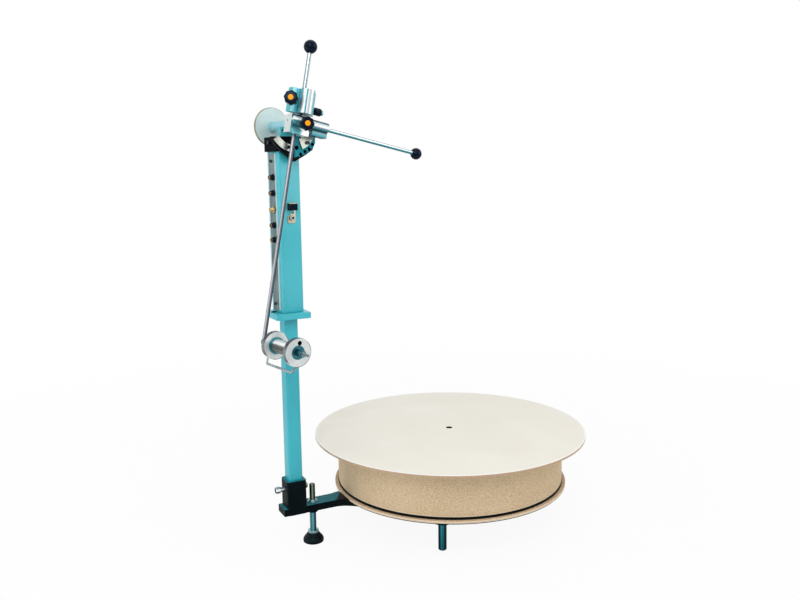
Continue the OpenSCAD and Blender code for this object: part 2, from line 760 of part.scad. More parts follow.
// Polished core of the guide roller, running on the axle.
module roller_core() {
  color([0.72, 0.75, 0.76]) at_cross() translate([0, 0, -dancer_len]) difference() {
    union() {
      rod_y(core_d, roller_y2 + 0.5, roller_back);
      rod_y(core_d + 7, roller_y1 - 3, roller_y1);
    }
    rod_y(axle_d + 2 * fit, roller_y2 - 10, roller_back + 10);
    rod_y(core_d - 6, roller_y2 - 1, roller_y2 + 3.5);
  }
}

// White disc on the back end of the pivot shaft.
module dial_disc() {
  color([0.86, 0.89, 0.87]) at_head() translate([0, 0, pivot_z]) difference() {
    rod_y(dial_d, 46, 53);
    rod_y(shaft_d + 8 + 2 * fit, 40, 60);
  }
}

// Bush of the white disc, running on the shaft.
module dial_hub() {
  color([0.6, 0.8, 0.84]) at_head() translate([0, 0, pivot_z]) difference() {
    union() {
      rod_y(shaft_d + 8, 36, 55);
      rod_y(shaft_d + 16, 53, 56);
    }
    rod_y(shaft_d + 2 * fit, 30, 60);
  }
}

// Upper balance rod.
module upper_rod() {
  color([0.74, 0.76, 0.77]) at_cross() translate([0, tube_y, 24]) cylinder(d = rod_d, h = upper_ball - 24);
}

// Ball on the upper balance rod.
module upper_ball_knob() {
  color([0.03, 0.03, 0.035]) at_cross() translate([0, tube_y, upper_ball]) difference() {
    sphere(d = ball_d);
    translate([0, 0, -ball_d]) cylinder(d = rod_d + 2 * fit, h = ball_d);
  }
}

// Side balance rod.
module side_rod() {
  color([0.74, 0.76, 0.77]) at_cross() translate([0, tube_y, side_z]) rod_x(rod_d, 20, side_ball);
}

// Ball on the side balance rod.
module side_ball_knob() {
  color([0.03, 0.03, 0.035]) at_cross() translate([side_ball, tube_y, side_z]) difference() {
    sphere(d = ball_d - 2);
    rod_x(rod_d + 2 * fit, -ball_d, 0);
  }
}

// A lobed knob with its back at z = 0 and a stem below it.
module lobed_knob(d, stem_d, stem_l, socket) {
  difference() {
    union() {
      cylinder(d = d * 0.9, h = knob_h);
      for (a = [0:45:315])
        rotate([0, 0, a]) translate([d * 0.39, 0, 0]) cylinder(d = d * 0.22, h = knob_h, $fn = 24);
      translate([0, 0, -stem_l]) cylinder(d = stem_d, h = stem_l + e);
    }
    if (socket)
      translate([0, 0, knob_h - 2]) cylinder(d = 14 + 2 * fit, h = 4);
  }
}

// Places children on the axis of the knob that grips the pivot shaft.
module at_pivot_knob() {
  at_cross() translate(pivot_knob_at) rotate([0, 0, pivot_turn]) translate([0, knob_h / 2, 0]) rotate([90, 0, 0]) children();
}

// Knob that grips the pivot shaft in the block.
module pivot_knob() {
  color([0.03, 0.03, 0.035]) at_pivot_knob() lobed_knob(knob_d, 6, 17, true);
}

// Orange cap of the pivot knob.
module pivot_knob_cap() {
  color([0.98, 0.62, 0.07]) at_pivot_knob() translate([0, 0, knob_h - 2]) cylinder(d = 14, h = 3);
}

// Places children on the axis of the upper clamp's knob.
module at_upper_knob() {
  at_cross() translate([lug_x, lug_y, lug_z]) rotate([0, 0, lug_turn]) translate([0, -17, 0]) rotate([90, 0, 0]) children();
}

// Knob that tightens the upper clamp.
module upper_knob() {
  color([0.03, 0.03, 0.035]) at_upper_knob() lobed_knob(knob_d, 6, 17, true);
}

// Orange cap of the upper knob.
module upper_knob_cap() {
  color([0.98, 0.62, 0.07]) at_upper_knob() translate([0, 0, knob_h - 2]) cylinder(d = 14, h = 3);
}

// Thumbscrew in the right of the upper clamp.
module side_knob() {
  color([0.03, 0.03, 0.035]) at_cross() translate([0, thumb_y, thumb_z]) {
    rod_x(6, 10, 34);
    rod_x(17, 33, 51);
    rod_x(12, 51 - e, 56);
  }
}

base_frame();
legs();
mast_arm();
arm_bolts();
socket_screws();
base_sheet();
base_disc();
spindle();
bearings();
hub_sleeve();
rotor_plate();
hub_bolts();
drum_core();
top_disc();
level_stud();
level_nut();
rubber_foot();
mast_post();
flange_plate();
swivel_bush();
mast_housing();
grommet();
panel();
panel_screws();
panel_plugs();
panel_tips();
brass_socket();
sensor_bracket();
sensor_block();
bracket_screw();
head_cap();
stop_plate();
cap_screws();
pivot_bearing();
arc_stops();
arc_screws();
pivot_shaft();
hub_block();
block_screw();
upper_clamp();
side_clamp();
dancer_rod();
axle();
axle_nut();
guard_wire();
roller_flanges();
roller_core();
dial_disc();
dial_hub();
upper_rod();
upper_ball_knob();
side_rod();
side_ball_knob();
pivot_knob();
pivot_knob_cap();
upper_knob();
upper_knob_cap();
side_knob();
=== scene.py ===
"""Coil uncoiler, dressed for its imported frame.

Lengths are millimetres in a local frame, and Place.row() turns them into metres in the row frame. DRUM has
its origin on the floor under the drum's axis, MAST under the mast's axis and FOOT under the levelling stud.
HEAD is MAST turned with the swivelling head, PIVOT lies along the dancer's pivot, CROSS is HEAD moved to the
pivot and leaned with the arm, and ROLL lies along the roller's axle.
"""
import bmesh
import bpy
import numpy as np
from mathutils import Matrix, Vector


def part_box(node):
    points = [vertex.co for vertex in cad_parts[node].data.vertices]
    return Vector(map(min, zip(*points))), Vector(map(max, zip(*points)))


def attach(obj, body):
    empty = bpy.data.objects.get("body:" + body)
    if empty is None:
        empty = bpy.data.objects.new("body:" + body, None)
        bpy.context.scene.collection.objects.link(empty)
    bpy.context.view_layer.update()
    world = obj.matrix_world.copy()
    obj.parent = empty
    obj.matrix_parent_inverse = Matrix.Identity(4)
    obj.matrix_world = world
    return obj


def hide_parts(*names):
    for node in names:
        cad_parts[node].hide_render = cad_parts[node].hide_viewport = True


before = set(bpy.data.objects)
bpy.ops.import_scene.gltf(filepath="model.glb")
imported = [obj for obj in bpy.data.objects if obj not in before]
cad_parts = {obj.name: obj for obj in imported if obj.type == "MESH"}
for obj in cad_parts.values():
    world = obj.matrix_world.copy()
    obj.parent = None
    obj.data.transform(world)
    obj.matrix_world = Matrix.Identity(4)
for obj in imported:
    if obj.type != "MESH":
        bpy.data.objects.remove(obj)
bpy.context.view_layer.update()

TAU = 2.0 * np.pi

# Main sizes, the same as the solids'.
MAST_REACH, HEAD_TURN, PIVOT_Z, LEAN, ARM = 432.0, 10.0, 999.0, 11.6, 481.6
TOP_Z, TOP_R, TOP_T, TOP_HOLE_R = 229.5, 350.0, 6.0, 8.0
DRUM_R, DRUM_WALL, CORE_LOW = 291.5, 16.0, 106.9
DISC_R, DISC_HOLE_R, DISC_HIGH, DISC_LOW = 301.0, 50.0, 101.0, 94.5
LEG_REACH, LEG_SPREAD, LEG_R, LEG_TOP = 231.6, 124.4, 10.0, 86.0
DRUM_X = 500.0 * float(np.sum(np.array(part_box("top_disc"))[:, 0]))
FOOT_X, CLAMP_Z, SOCKET_SIDE = 46.0, 147.0, 24.0
POST_LOW, POST_TOP = 104.5, 563.0
HOUSING_W, HOUSING_LOW, HOUSING_TOP = 54.0, 577.5, 942.0
PANEL_FACE, PLUG_Y, PLUG_Z, BRASS_Z = -31.0, -6.0, (885, 850, 778, 745), 813.0
CROSS_Y, TUBE_Y, BAR_R = -66.0, -76.0, 4.5
UPPER_END, SIDE_END, BALL_BORE, BALL_NECK = 169.0, 328.0, 4.55, 6.5
KNOB_H, STEM_R, STEM_L = 17.0, 3.0, 17.0
# Sizes that follow the photograph where the solids are a little off.
POST_W, KNOB_D, CAP_R = 34.0, 31.0, 6.0
# Points closer than MERGE, in metres, are one. Edges that turn less than FLAT_TURN degrees are taken out, more
# than EDGE_TURN are eased, and more than SHARP_TURN are shaded sharp.
MERGE, FLAT_TURN, EDGE_TURN, SHARP_TURN = 2e-6, 0.6, 38.0, 35.0


def turn_z(deg):
    """Rotation about Z by an angle in degrees."""
    a = np.radians(deg)
    return np.array([[np.cos(a), -np.sin(a), 0], [np.sin(a), np.cos(a), 0], [0, 0, 1]])


def turn_y(deg):
    """Rotation about Y by an angle in degrees."""
    a = np.radians(deg)
    return np.array([[np.cos(a), 0, np.sin(a)], [0, 1, 0], [-np.sin(a), 0, np.cos(a)]])


def turn_x(deg):
    """Rotation about X by an angle in degrees."""
    a = np.radians(deg)
    return np.array([[1, 0, 0], [0, np.cos(a), -np.sin(a)], [0, np.sin(a), np.cos(a)]])


class Place:
    """A local frame: a rotation and an origin, both in row axes, in millimetres."""

    def __init__(self, rot, origin):
        self.rot, self.origin = np.asarray(rot, float), np.asarray(origin, float)

    def at(self, offset, rot=np.eye(3)):
        """A frame set at an offset in this one, turned by rot."""
        return Place(self.rot @ rot, self.origin + self.rot @ np.asarray(offset, float))

    def row(self, pts):
        """Points of this frame in metres in the row frame."""
        return (np.asarray(pts, float) @ self.rot.T + self.origin) / 1000.0


ALONG_Y, ALONG_X, FRONT, SIDE = turn_x(-90), turn_y(90), turn_x(90), turn_y(-90)
DRUM = Place(np.eye(3), [DRUM_X, 0, 0])
MAST = DRUM.at([-MAST_REACH, 0, 0])
FOOT = MAST.at([FOOT_X, 0, 0])
CLAMP = MAST.at([0, 0, CLAMP_Z])
HEAD = MAST.at([0, 0, 0], turn_z(HEAD_TURN))
PIVOT = HEAD.at([0, 0, PIVOT_Z], ALONG_Y)
CROSS = HEAD.at([0, 0, PIVOT_Z], turn_y(LEAN))
ROD_UP = CROSS.at([0, TUBE_Y, 0])
ROD_SIDE = CROSS.at([0, TUBE_Y, 3.5], ALONG_X)
ROD_DOWN = CROSS.at([-3.5, CROSS_Y, 0])
THUMB = CROSS.at([0, -72, 37], ALONG_X)
ROLL = CROSS.at([0, 0, -ARM], ALONG_Y)
FLANGE_HOLE = ROLL.at([0, -20, 0])
WIRE = CROSS.at([1.5, 0, -ARM])


# Meshes

def sheet_mesh(name, grids):
    """A mesh of one or more (rows, columns, 3) grids of points in metres. A grid is closed round in its
    columns when its last column repeats its first; doubles are merged later."""
    verts, faces, start = [], [], 0
    for g in grids:
        n, m = g.shape[:2]
        idx = np.arange(n * m).reshape(n, m) + start
        quad = np.stack([idx[:-1, :-1], idx[:-1, 1:], idx[1:, 1:], idx[1:, :-1]], -1).reshape(-1, 4)
        verts.append(g.reshape(-1, 3))
        faces.append(quad)
        start += n * m
    verts, faces = np.concatenate(verts), np.concatenate(faces)
    mesh = bpy.data.meshes.new(name)
    mesh.vertices.add(len(verts))
    mesh.vertices.foreach_set("co", verts.astype(np.float32).ravel())
    mesh.loops.add(faces.size)
    mesh.loops.foreach_set("vertex_index", faces.astype(np.int32).ravel())
    mesh.polygons.add(len(faces))
    mesh.polygons.foreach_set("loop_start", np.arange(0, faces.size, 4, dtype=np.int32))
    mesh.update(calc_edges=True)
    mesh.validate()
    obj = bpy.data.objects.new(name, mesh)
    bpy.context.scene.collection.objects.link(obj)
    return obj


def dress(obj, body, material, nodes=(), sharp=SHARP_TURN):
    """Smooths a piece up to an angle, gives it its finish, ties it to its body and hides the CAD nodes it
    replaces.
    """
    obj.data.shade_smooth()
    obj.data.set_sharp_from_angle(angle=np.radians(sharp))
    obj.data.materials.clear()
    obj.data.materials.append(material)
    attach(obj, body)
    if nodes:
        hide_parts(*nodes)
    return obj


def piece(name, grids, body, material, nodes=(), sharp=SHARP_TURN):
    """A finished piece of one or more grids, with its doubles merged and its faces pointed outwards."""
    obj = sheet_mesh(name, grids)
    bm = bmesh.new()
    bm.from_mesh(obj.data)
    bmesh.ops.remove_doubles(bm, verts=bm.verts, dist=MERGE)
    bmesh.ops.dissolve_degenerate(bm, edges=bm.edges, dist=MERGE / 20)
    bmesh.ops.recalc_face_normals(bm, faces=bm.faces)
    bm.to_mesh(obj.data)
    bm.free()
    return dress(obj, body, material, nodes, sharp)


def softened(node, body, material, width, segments=3, reshape=None):
    """A copy of a CAD node with its doubles merged, its flat faces joined and its sharp edges eased. A
    reshape function may first move the copy's points, as one array in metres."""
    obj = bpy.data.objects.new(node + "_eased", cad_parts[node].data.copy())
    bpy.context.scene.collection.objects.link(obj)
    if reshape:
        points = np.empty(3 * len(obj.data.vertices), np.float32)
        obj.data.vertices.foreach_get("co", points)
        moved = reshape(points.reshape(-1, 3).astype(float))
        obj.data.vertices.foreach_set("co", moved.astype(np.float32).ravel())
    bm = bmesh.new()
    bm.from_mesh(obj.data)
    bmesh.ops.remove_doubles(bm, verts=bm.verts, dist=MERGE)
    bmesh.ops.dissolve_limit(bm, angle_limit=np.radians(FLAT_TURN), verts=bm.verts, edges=bm.edges)
    bm.to_mesh(obj.data)
    bm.free()
    bevel = obj.modifiers.new("eased edges", "BEVEL")
    bevel.width, bevel.segments, bevel.limit_method = width / 1000.0, segments, "ANGLE"
    bevel.angle_limit, bevel.harden_normals, bevel.use_clamp_overlap = np.radians(EDGE_TURN), True, True
    return dress(obj, body, material, [node])


def keeps_shape(material, *nodes):
    """CAD nodes that keep their own shape and only get a finish."""
    for node in nodes:
        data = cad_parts[node].data
        data.materials.clear()
        data.materials.append(material)


def around(radius, angle, height):
    """Points at a radius and an angle round local Z and a height along it, each a number or an array."""
    r, t, z = np.broadcast_arrays(radius, angle, height)
    return np.stack([r * np.cos(t), r * np.sin(t), z], -1)


def lathe(place, profile, seg=96):
    """Surface of revolution: radius and height of the profile carried round the local Z axis."""
    p = np.asarray(profile, float)
    return place.row(around(p[:, :1], np.linspace(0, TAU, seg + 1), p[:, 1:2]))


def rounded(profile, radius, steps=5):
    """A polyline with each inner corner replaced by a short quadratic curve that starts and ends radius
    away from the corner, or half a side away where the side is short."""
    p = np.asarray(profile, float)
    out = [p[:1]]
    s = np.linspace(0, 1, steps)[:, None]
    for a, b, c in zip(p[:-2], p[1:-1], p[2:]):
        la, lc = np.linalg.norm(a - b), np.linalg.norm(c - b)
        r = min(radius, 0.49 * la, 0.49 * lc)
        u, v = b + (a - b) * r / la, b + (c - b) * r / lc
        out.append((1 - s) ** 2 * u + 2 * s * (1 - s) * b + s ** 2 * v)
    out.append(p[-1:])
    return np.concatenate(out)


def turned(name, place, profile, body, material, nodes=(), edge=0.6, seg=96):
    """A turned piece: a profile of (radius, height) with eased corners, carried round local Z."""
    return piece(name, [lathe(place, rounded(profile, edge), seg)], body, material, nodes)


def pin(r, z0, z1):
    """Profile of a round bar between two heights."""
    return [(0, z0), (r, z0), (r, z1), (0, z1)]


def collar(r0, z0, r1, z1):
    """Profile of a ring of rectangular section, from one corner round to it again."""
    return [(r0, z0), (r1, z0), (r1, z1), (r0, z1), (r0, z0)]


def square_outline(wx, wy, r, steps=9):
    """Closed outline of a rectangle with round corners: four quarter circles joined by straight sides."""
    a = np.linspace(0, np.pi / 2, steps)
    parts = []
    for k, (sx, sy) in enumerate(((1, 1), (-1, 1), (-1, -1), (1, -1))):
        t = a + k * np.pi / 2
        parts.append(np.stack([sx * (wx / 2 - r) + r * np.cos(t), sy * (wy / 2 - r) + r * np.sin(t)], -1))
    o = np.concatenate(parts)
    return np.concatenate([o, o[:1]])


def block(name, w, place, z0, z1, r, body, material, nodes, ease=0.6, steps=4):
    """A square block: the outline of a rounded square carried up local Z, drawn in at both ends along a
    quarter circle so that the end edges are eased, and closed by shrinking to the middle."""
    q = np.linspace(0, np.pi / 2, steps)
    inset = np.concatenate([[w / 2], ease * (1 - np.sin(q)), ease * (1 - np.cos(q)), [w / 2]])
    height = np.concatenate([[z0], z0 + ease * (1 - np.cos(q)), z1 - ease * (1 - np.sin(q)), [z1]])
    rows = []
    for d, h in zip(inset, height):
        outline = square_outline(w - 2 * d, w - 2 * d, max(r - d, 0.2)) * (d < w / 2)
        rows.append(np.concatenate([outline, np.full((len(outline), 1), h)], 1))
    return piece(name, [place.row(np.stack(rows))], body, material, nodes)


def swept_grid(place, path, radius, seg=20):
    """A round bar along a path: circles of the given radius set square to the path's tangent, with the
    frame carried from point to point so that it doesn't twist, and ends closed to their middles."""
    p = np.asarray(path, float)
    t = np.gradient(p, axis=0)
    t /= np.linalg.norm(t, axis=1, keepdims=True)
    off_path = [0.31, 0.72, 0.62]
    n = np.cross(t[0], off_path)
    a = np.linspace(0, TAU, seg + 1)
    rows = [np.repeat(p[:1], seg + 1, 0)]
    for point, d in zip(p, t):
        n = n - d * (n @ d)
        n /= np.linalg.norm(n)
        rows.append(point + radius * (np.cos(a)[:, None] * n + np.sin(a)[:, None] * np.cross(d, n)))
    rows.append(np.repeat(p[-1:], seg + 1, 0))
    return place.row(np.stack(rows))


def thread_grid(place, r, depth, pitch, z0, z1, per_turn=10):
    """Screw thread: the radius falls from crest to root in a triangle wave of height over pitch less the
    angle over a full turn, so that the ridge climbs as a helix; the ends close to the axis."""
    z = np.linspace(z0, z1, int((z1 - z0) / pitch * per_turn))[:, None]
    t = np.linspace(0, TAU, 49)[None, :]
    wave = np.abs(((z / pitch - t / TAU) % 1.0) * 2 - 1)
    g = around(r - depth * wave, t, z)
    low, high = g[:1] * [0, 0, 1], g[-1:] * [0, 0, 1]
    return place.row(np.concatenate([low, g, high]))


def hex_grid(place, flats, z0, z1, chamfer):
    """Hexagon nut: radius of a hexagon at each angle, cut by a cone at both ends, closed to the axis."""
    t = np.linspace(0, TAU, 73)
    corner = flats / 2 / np.cos((t % (np.pi / 3)) - np.pi / 6)
    cone = flats / 2 - 0.4
    limit = np.array([0, cone, flats, flats, cone, 0])[:, None]
    height = np.array([z0, z0, z0 + chamfer, z1 - chamfer, z1, z1])[:, None]
    return place.row(around(np.minimum(corner, limit), t, height))


def knurled_grid(place, r, depth, teeth, z0, z1, ease=1.0):
    """Knurled barrel: radius less a cosine of the angle times the tooth count, faded out at both eased
    ends, and closed to the axis."""
    z = np.array([z0, z0, z0 + ease, z1 - ease, z1, z1])[:, None]
    base = np.array([0, r - ease, r, r, r - ease, 0])[:, None]
    t = np.linspace(0, TAU, 8 * teeth + 1)[None, :]
    cut = np.array([0, 0, 1, 1, 0, 0])[:, None] * depth * (0.5 + 0.5 * np.cos(teeth * t))
    return place.row(around(base - cut, t, z))


def ball_profile(r, centre):
    """Ball knob: half circle of heights round its centre, with a short flat neck where the rod goes in."""
    a = np.linspace(-np.pi / 2 + np.arcsin(BALL_NECK / r), np.pi / 2, 40)
    p = np.stack([r * np.cos(a), centre + r * np.sin(a)], -1)
    p[-1, 0] = 0.0
    low = p[0, 1] - 0.4
    return np.concatenate([[(BALL_BORE, centre), (BALL_BORE, low), (BALL_NECK - 0.6, low)], p])


def lobed_grid(place, d, h, lobes=8):
    """Lobed knob: radius is a mean plus a flattened cosine of the angle times the lobe count, drawn in at
    the front along a quarter circle and at the back by a small chamfer, with a recess for the cap."""
    front, chamfer, mean, swell = 4.2, 1.4, 0.476 * d, 0.022 * d
    t = np.linspace(0, TAU, 16 * lobes + 1)
    c = np.cos(lobes * t)
    wave = swell * np.sign(c) * np.abs(c) ** 0.7
    q = np.linspace(0, np.pi / 2, 7)
    shrink = np.concatenate([[chamfer, 0.0], front * (1 - np.cos(q))])[:, None]
    height = np.concatenate([[0.0, chamfer], h - front * (1 - np.sin(q))])[:, None]
    fade = np.concatenate([[1.0, 1.0], 1 - 0.75 * q / q[-1]])[:, None]
    shell = around(mean - shrink + wave * fade, t, height)
    recess = np.array([(CAP_R + 0.6, h), (CAP_R + 0.05, h - 0.5), (CAP_R + 0.05, h - 2), (0.0, h - 2)])
    rows = [around(0.0, t, [[0.0]]), shell, around(recess[:, :1], t, recess[:, 1:])]
    return place.row(np.concatenate(rows))


# Materials

def lin(colour):
    """A display colour of 0 to 255 as the linear colour that a shader takes. Four values are linear
    already."""
    if len(colour) == 4:
        return colour
    c = np.array(colour) / 255.0
    return tuple(np.where(c <= 0.04045, c / 12.92, ((c + 0.055) / 1.055) ** 2.4)) + (1.0,)


def lighter(colour, gain, lift):
    """A display colour made lighter in linear light, by a factor and a small lift, up to white."""
    return tuple(min(1.0, gain * c + lift) for c in lin(colour)[:3]) + (1.0,)


class Finish:
    """A node material: a Principled shader with small helpers that add and link its texture nodes."""

    def __init__(self, name, colour, rough, metal=0.0, coat=0.0, spec=0.5):
        self.mat = bpy.data.materials.new(name)
        self.mat.use_nodes = True
        self.tree = self.mat.node_tree
        self.bsdf = self.tree.nodes["Principled BSDF"]
        self.put("Base Color", lin(colour))
        self.put("Roughness", rough)
        self.put("Metallic", metal)
        self.put("Coat Weight", coat)
        self.put("Specular IOR Level", spec)
        self.coords = self.add("ShaderNodeTexCoord").outputs["Object"]

    def put(self, socket, value):
        """Sets one value of the Principled shader."""
        self.bsdf.inputs[socket].default_value = value

    def add(self, kind, **settings):
        """A new node with the given settings."""
        node = self.tree.nodes.new(kind)
        for key, value in settings.items():
            setattr(node, key, value)
        return node

    def link(self, out, into):
        """Joins an output to an input."""
        self.tree.links.new(out, into)

    def math(self, op, a, b=None):
        """One sum of one or two values, each a number or an output."""
        node = self.add("ShaderNodeMath", operation=op)
        for k, value in enumerate((a, b)):
            if isinstance(value, (int, float)):
                node.inputs[k].default_value = value
            elif value is not None:
                self.link(value, node.inputs[k])
        return node.outputs[0]

    def plus(self, a, b):
        """Sum of two values."""
        return self.math("ADD", a, b)

    def times(self, a, b):
        """Product of two values."""
        return self.math("MULTIPLY", a, b)

    def over(self, value, limit):
        """1 where a value is over a limit, else 0."""
        return self.math("GREATER_THAN", value, limit)

    def under(self, value, limit):
        """1 where a value is under a limit, else 0."""
        return self.math("LESS_THAN", value, limit)

    def mix(self, fac, a, b):
        """Two colours mixed by a factor."""
        node = self.add("ShaderNodeMix", data_type="RGBA")
        self.link(fac, node.inputs[0])
        for socket, value in ((node.inputs[6], a), (node.inputs[7], b)):
            if isinstance(value, tuple):
                socket.default_value = lin(value)
            else:
                self.link(value, socket)
        return node.outputs[2]

    def noise(self, scale, detail=3.0, stretch=(1, 1, 1), rough=0.55):
        """Noise on Object coordinates, in metres, stretched per axis."""
        m = self.add("ShaderNodeMapping")
        m.inputs["Scale"].default_value = stretch
        n = self.add("ShaderNodeTexNoise")
        n.inputs["Scale"].default_value, n.inputs["Detail"].default_value = scale, detail
        n.inputs["Roughness"].default_value = rough
        self.link(self.coords, m.inputs["Vector"])
        self.link(m.outputs["Vector"], n.inputs["Vector"])
        return n.outputs["Fac"]

    def drift(self, value, scale, detail, size):
        """A value with a little noise about zero added."""
        return self.plus(value, self.times(self.math("SUBTRACT", self.noise(scale, detail), 0.5), size))

    def ramp(self, fac, stops):
        """Colour ramp of (position, colour) stops."""
        node = self.add("ShaderNodeValToRGB")
        while len(node.color_ramp.elements) < len(stops):
            node.color_ramp.elements.new(0.5)
        for stop, (pos, col) in zip(node.color_ramp.elements, stops):
            stop.position, stop.color = pos, lin(col)
        self.link(fac, node.inputs["Fac"])
        return node.outputs["Color"]

    def cloud(self, dark, light, scale, detail=3.0, stretch=(1, 1, 1), span=(0.3, 0.7)):
        """Noise drawn from a dark colour to a light one."""
        return self.ramp(self.noise(scale, detail, stretch), list(zip(span, (dark, light))))

    def axis(self, place):
        """Height along a local frame's Z axis and radius from it in millimetres, and angle round it."""
        sub = self.add("ShaderNodeVectorMath", operation="SUBTRACT")
        sub.inputs[1].default_value = tuple(place.origin / 1000.0)
        self.link(self.coords, sub.inputs[0])
        dots = []
        for k in range(3):
            dot = self.add("ShaderNodeVectorMath", operation="DOT_PRODUCT")
            dot.inputs[1].default_value = tuple(1000.0 * place.rot[:, k])
            self.link(sub.outputs[0], dot.inputs[0])
            dots.append(dot.outputs["Value"])
        x, y, z = dots
        radius = self.math("SQRT", self.plus(self.times(x, x), self.times(y, y)))
        return z, radius, self.math("ARCTAN2", y, x)

    def half_turn(self, angle, facing):
        """0 to 1 over half a turn, with the facing angle, in degrees, in the middle; the rest repeats it."""
        return self.math("FRACT", self.plus(self.times(angle, 1 / np.pi), 2.5 - facing / 180.0))

    def colour(self, out):
        """Gives the shader its colour."""
        self.link(out, self.bsdf.inputs["Base Color"])

    def roughness(self, fac, low, high):
        """Gives the shader a roughness between two values."""
        m = self.add("ShaderNodeMapRange")
        m.inputs["To Min"].default_value, m.inputs["To Max"].default_value = low, high
        self.link(fac, m.inputs["Value"])
        self.link(m.outputs[0], self.bsdf.inputs["Roughness"])

    def bump(self, fac, strength, distance):
        """Gives the shader a bumpy skin, with its depth in metres."""
        b = self.add("ShaderNodeBump")
        b.inputs["Strength"].default_value, b.inputs["Distance"].default_value = strength, distance
        self.link(fac, b.inputs["Height"])
        self.link(b.outputs["Normal"], self.bsdf.inputs["Normal"])


# Colours of the bands that a bright room leaves on polished pieces, and the bands as (place, colour) over
# half a turn, or over the height on the side clamp.
WHITE_BAND, PALE_BAND, MID_BAND = (246, 247, 247), (200, 212, 216), (132, 158, 164)
TEAL_BAND, DARK_BAND, DEEP_BAND = (74, 146, 156), (40, 78, 88), (10, 40, 46)
PLATE_TEAL, BRIGHT_STEEL, BLUE_SHEEN = (92, 184, 196), (220, 226, 228), (150, 225, 235)
BOSS_BANDS = [
    (0.0, PLATE_TEAL), (0.05, PLATE_TEAL), (0.09, (170, 216, 223)), (0.16, PLATE_TEAL), (0.22, MID_BAND),
    (0.27, TEAL_BAND), (0.33, WHITE_BAND), (0.41, PALE_BAND), (0.46, TEAL_BAND), (0.5, DARK_BAND),
    (0.54, WHITE_BAND), (0.6, PALE_BAND), (0.66, MID_BAND), (0.72, WHITE_BAND), (0.8, PALE_BAND),
    (0.88, PLATE_TEAL), (1.0, PLATE_TEAL)]
ROD_BANDS = [
    (0.0, MID_BAND), (0.2, DARK_BAND), (0.3, PALE_BAND), (0.4, TEAL_BAND), (0.47, WHITE_BAND),
    (0.55, PALE_BAND), (0.62, DARK_BAND), (0.7, MID_BAND), (0.8, PALE_BAND), (0.9, DARK_BAND),
    (1.0, MID_BAND)]
GREY_BANDS = [
    (0.0, (70, 76, 84)), (0.2, (116, 122, 128)), (0.36, (184, 186, 192)), (0.47, (150, 152, 160)),
    (0.6, (92, 98, 106)), (0.78, (52, 58, 66)), (0.92, (70, 78, 84)), (1.0, (70, 76, 84))]
CLAMP_BANDS = [
    (0.0, DARK_BAND), (0.16, DARK_BAND), (0.24, TEAL_BAND), (0.3, WHITE_BAND), (0.4, WHITE_BAND),
    (0.45, PALE_BAND), (0.52, (84, 170, 182)), (0.64, TEAL_BAND), (0.74, DARK_BAND), (0.82, TEAL_BAND),
    (0.92, (110, 190, 198)), (1.0, DARK_BAND)]
SCREW_BANDS = [
    (0.0, MID_BAND), (0.25, MID_BAND), (0.36, WHITE_BAND), (0.48, WHITE_BAND), (0.56, MID_BAND),
    (0.62, DEEP_BAND), (0.8, DEEP_BAND), (0.9, MID_BAND), (1.0, PALE_BAND)]
OLIVE_BANDS = [(0.0, (150, 160, 140)), (0.35, (124, 134, 96)), (0.55, (76, 76, 32)), (1.0, (60, 66, 36))]
SIDE_CLAMP_BANDS = [
    (0.0, DARK_BAND), (0.05, (44, 146, 160)), (0.13, TEAL_BAND), (0.2, MID_BAND), (0.27, TEAL_BAND),
    (0.31, DEEP_BAND), (0.4, DEEP_BAND), (0.45, (32, 118, 132)), (0.5, TEAL_BAND), (0.56, MID_BAND),
    (0.61, WHITE_BAND), (0.68, WHITE_BAND), (0.73, MID_BAND), (0.79, PALE_BAND), (0.86, MID_BAND),
    (0.91, DEEP_BAND), (1.0, DEEP_BAND)]
LOW_STUD_BANDS = [
    (0.0, DARK_BAND), (0.18, MID_BAND), (0.33, (36, 104, 116)), (0.45, TEAL_BAND), (0.55, (104, 180, 196)),
    (0.67, (30, 96, 106)), (0.8, DEEP_BAND), (1.0, DEEP_BAND)]
TOP_STUD_BANDS = [
    (0.0, (64, 66, 46)), (0.2, (70, 74, 56)), (0.3, (8, 10, 5)), (0.38, (8, 10, 5)), (0.46, (84, 100, 90)),
    (0.55, (136, 158, 150)), (0.66, (60, 72, 48)), (1.0, (40, 46, 28))]
LEG_BANDS = [
    (0.0, (2, 38, 42)), (0.2, (6, 44, 50)), (0.3, (30, 70, 80)), (0.41, (56, 160, 176)),
    (0.5, (26, 100, 112)), (0.57, (38, 124, 140)), (0.63, (40, 62, 64)), (0.8, (34, 58, 58)),
    (1.0, (10, 40, 44))]
CORE_BANDS = [
    (0.0, DARK_BAND), (0.12, (66, 74, 78)), (0.24, (104, 108, 106)), (0.36, (70, 74, 76)),
    (0.47, (104, 110, 110)), (0.54, WHITE_BAND), (0.64, WHITE_BAND), (0.72, PALE_BAND), (0.86, MID_BAND),
    (1.0, DARK_BAND)]
RIM_BANDS = [
    (0.0, (58, 66, 80)), (0.15, (120, 130, 138)), (0.3, (235, 238, 240)), (0.42, (44, 50, 64)),
    (0.6, (150, 158, 160)), (0.8, (36, 44, 56)), (1.0, (58, 66, 80))]
# Angles in degrees that face the camera, round upright bars, bars across the picture, the legs and the
# stud, the roller's core and its flanges.
UPRIGHT_VIEW, ACROSS_VIEW, LEG_VIEW, CORE_VIEW, RIM_VIEW = -119.0, -87.0, -117.0, -159.0, -27.0


def paint(name, colour, shade, rough):
    """Sprayed paint: a faint cloud in the colour and a fine orange-peel bump."""
    f = Finish(name, colour, rough, coat=0.3)
    f.colour(f.cloud(shade, colour, 9))
    f.roughness(f.noise(60, 4), rough - 0.06, rough + 0.08)
    f.bump(f.noise(520, 2), 0.06, 0.0004)
    return f.mat


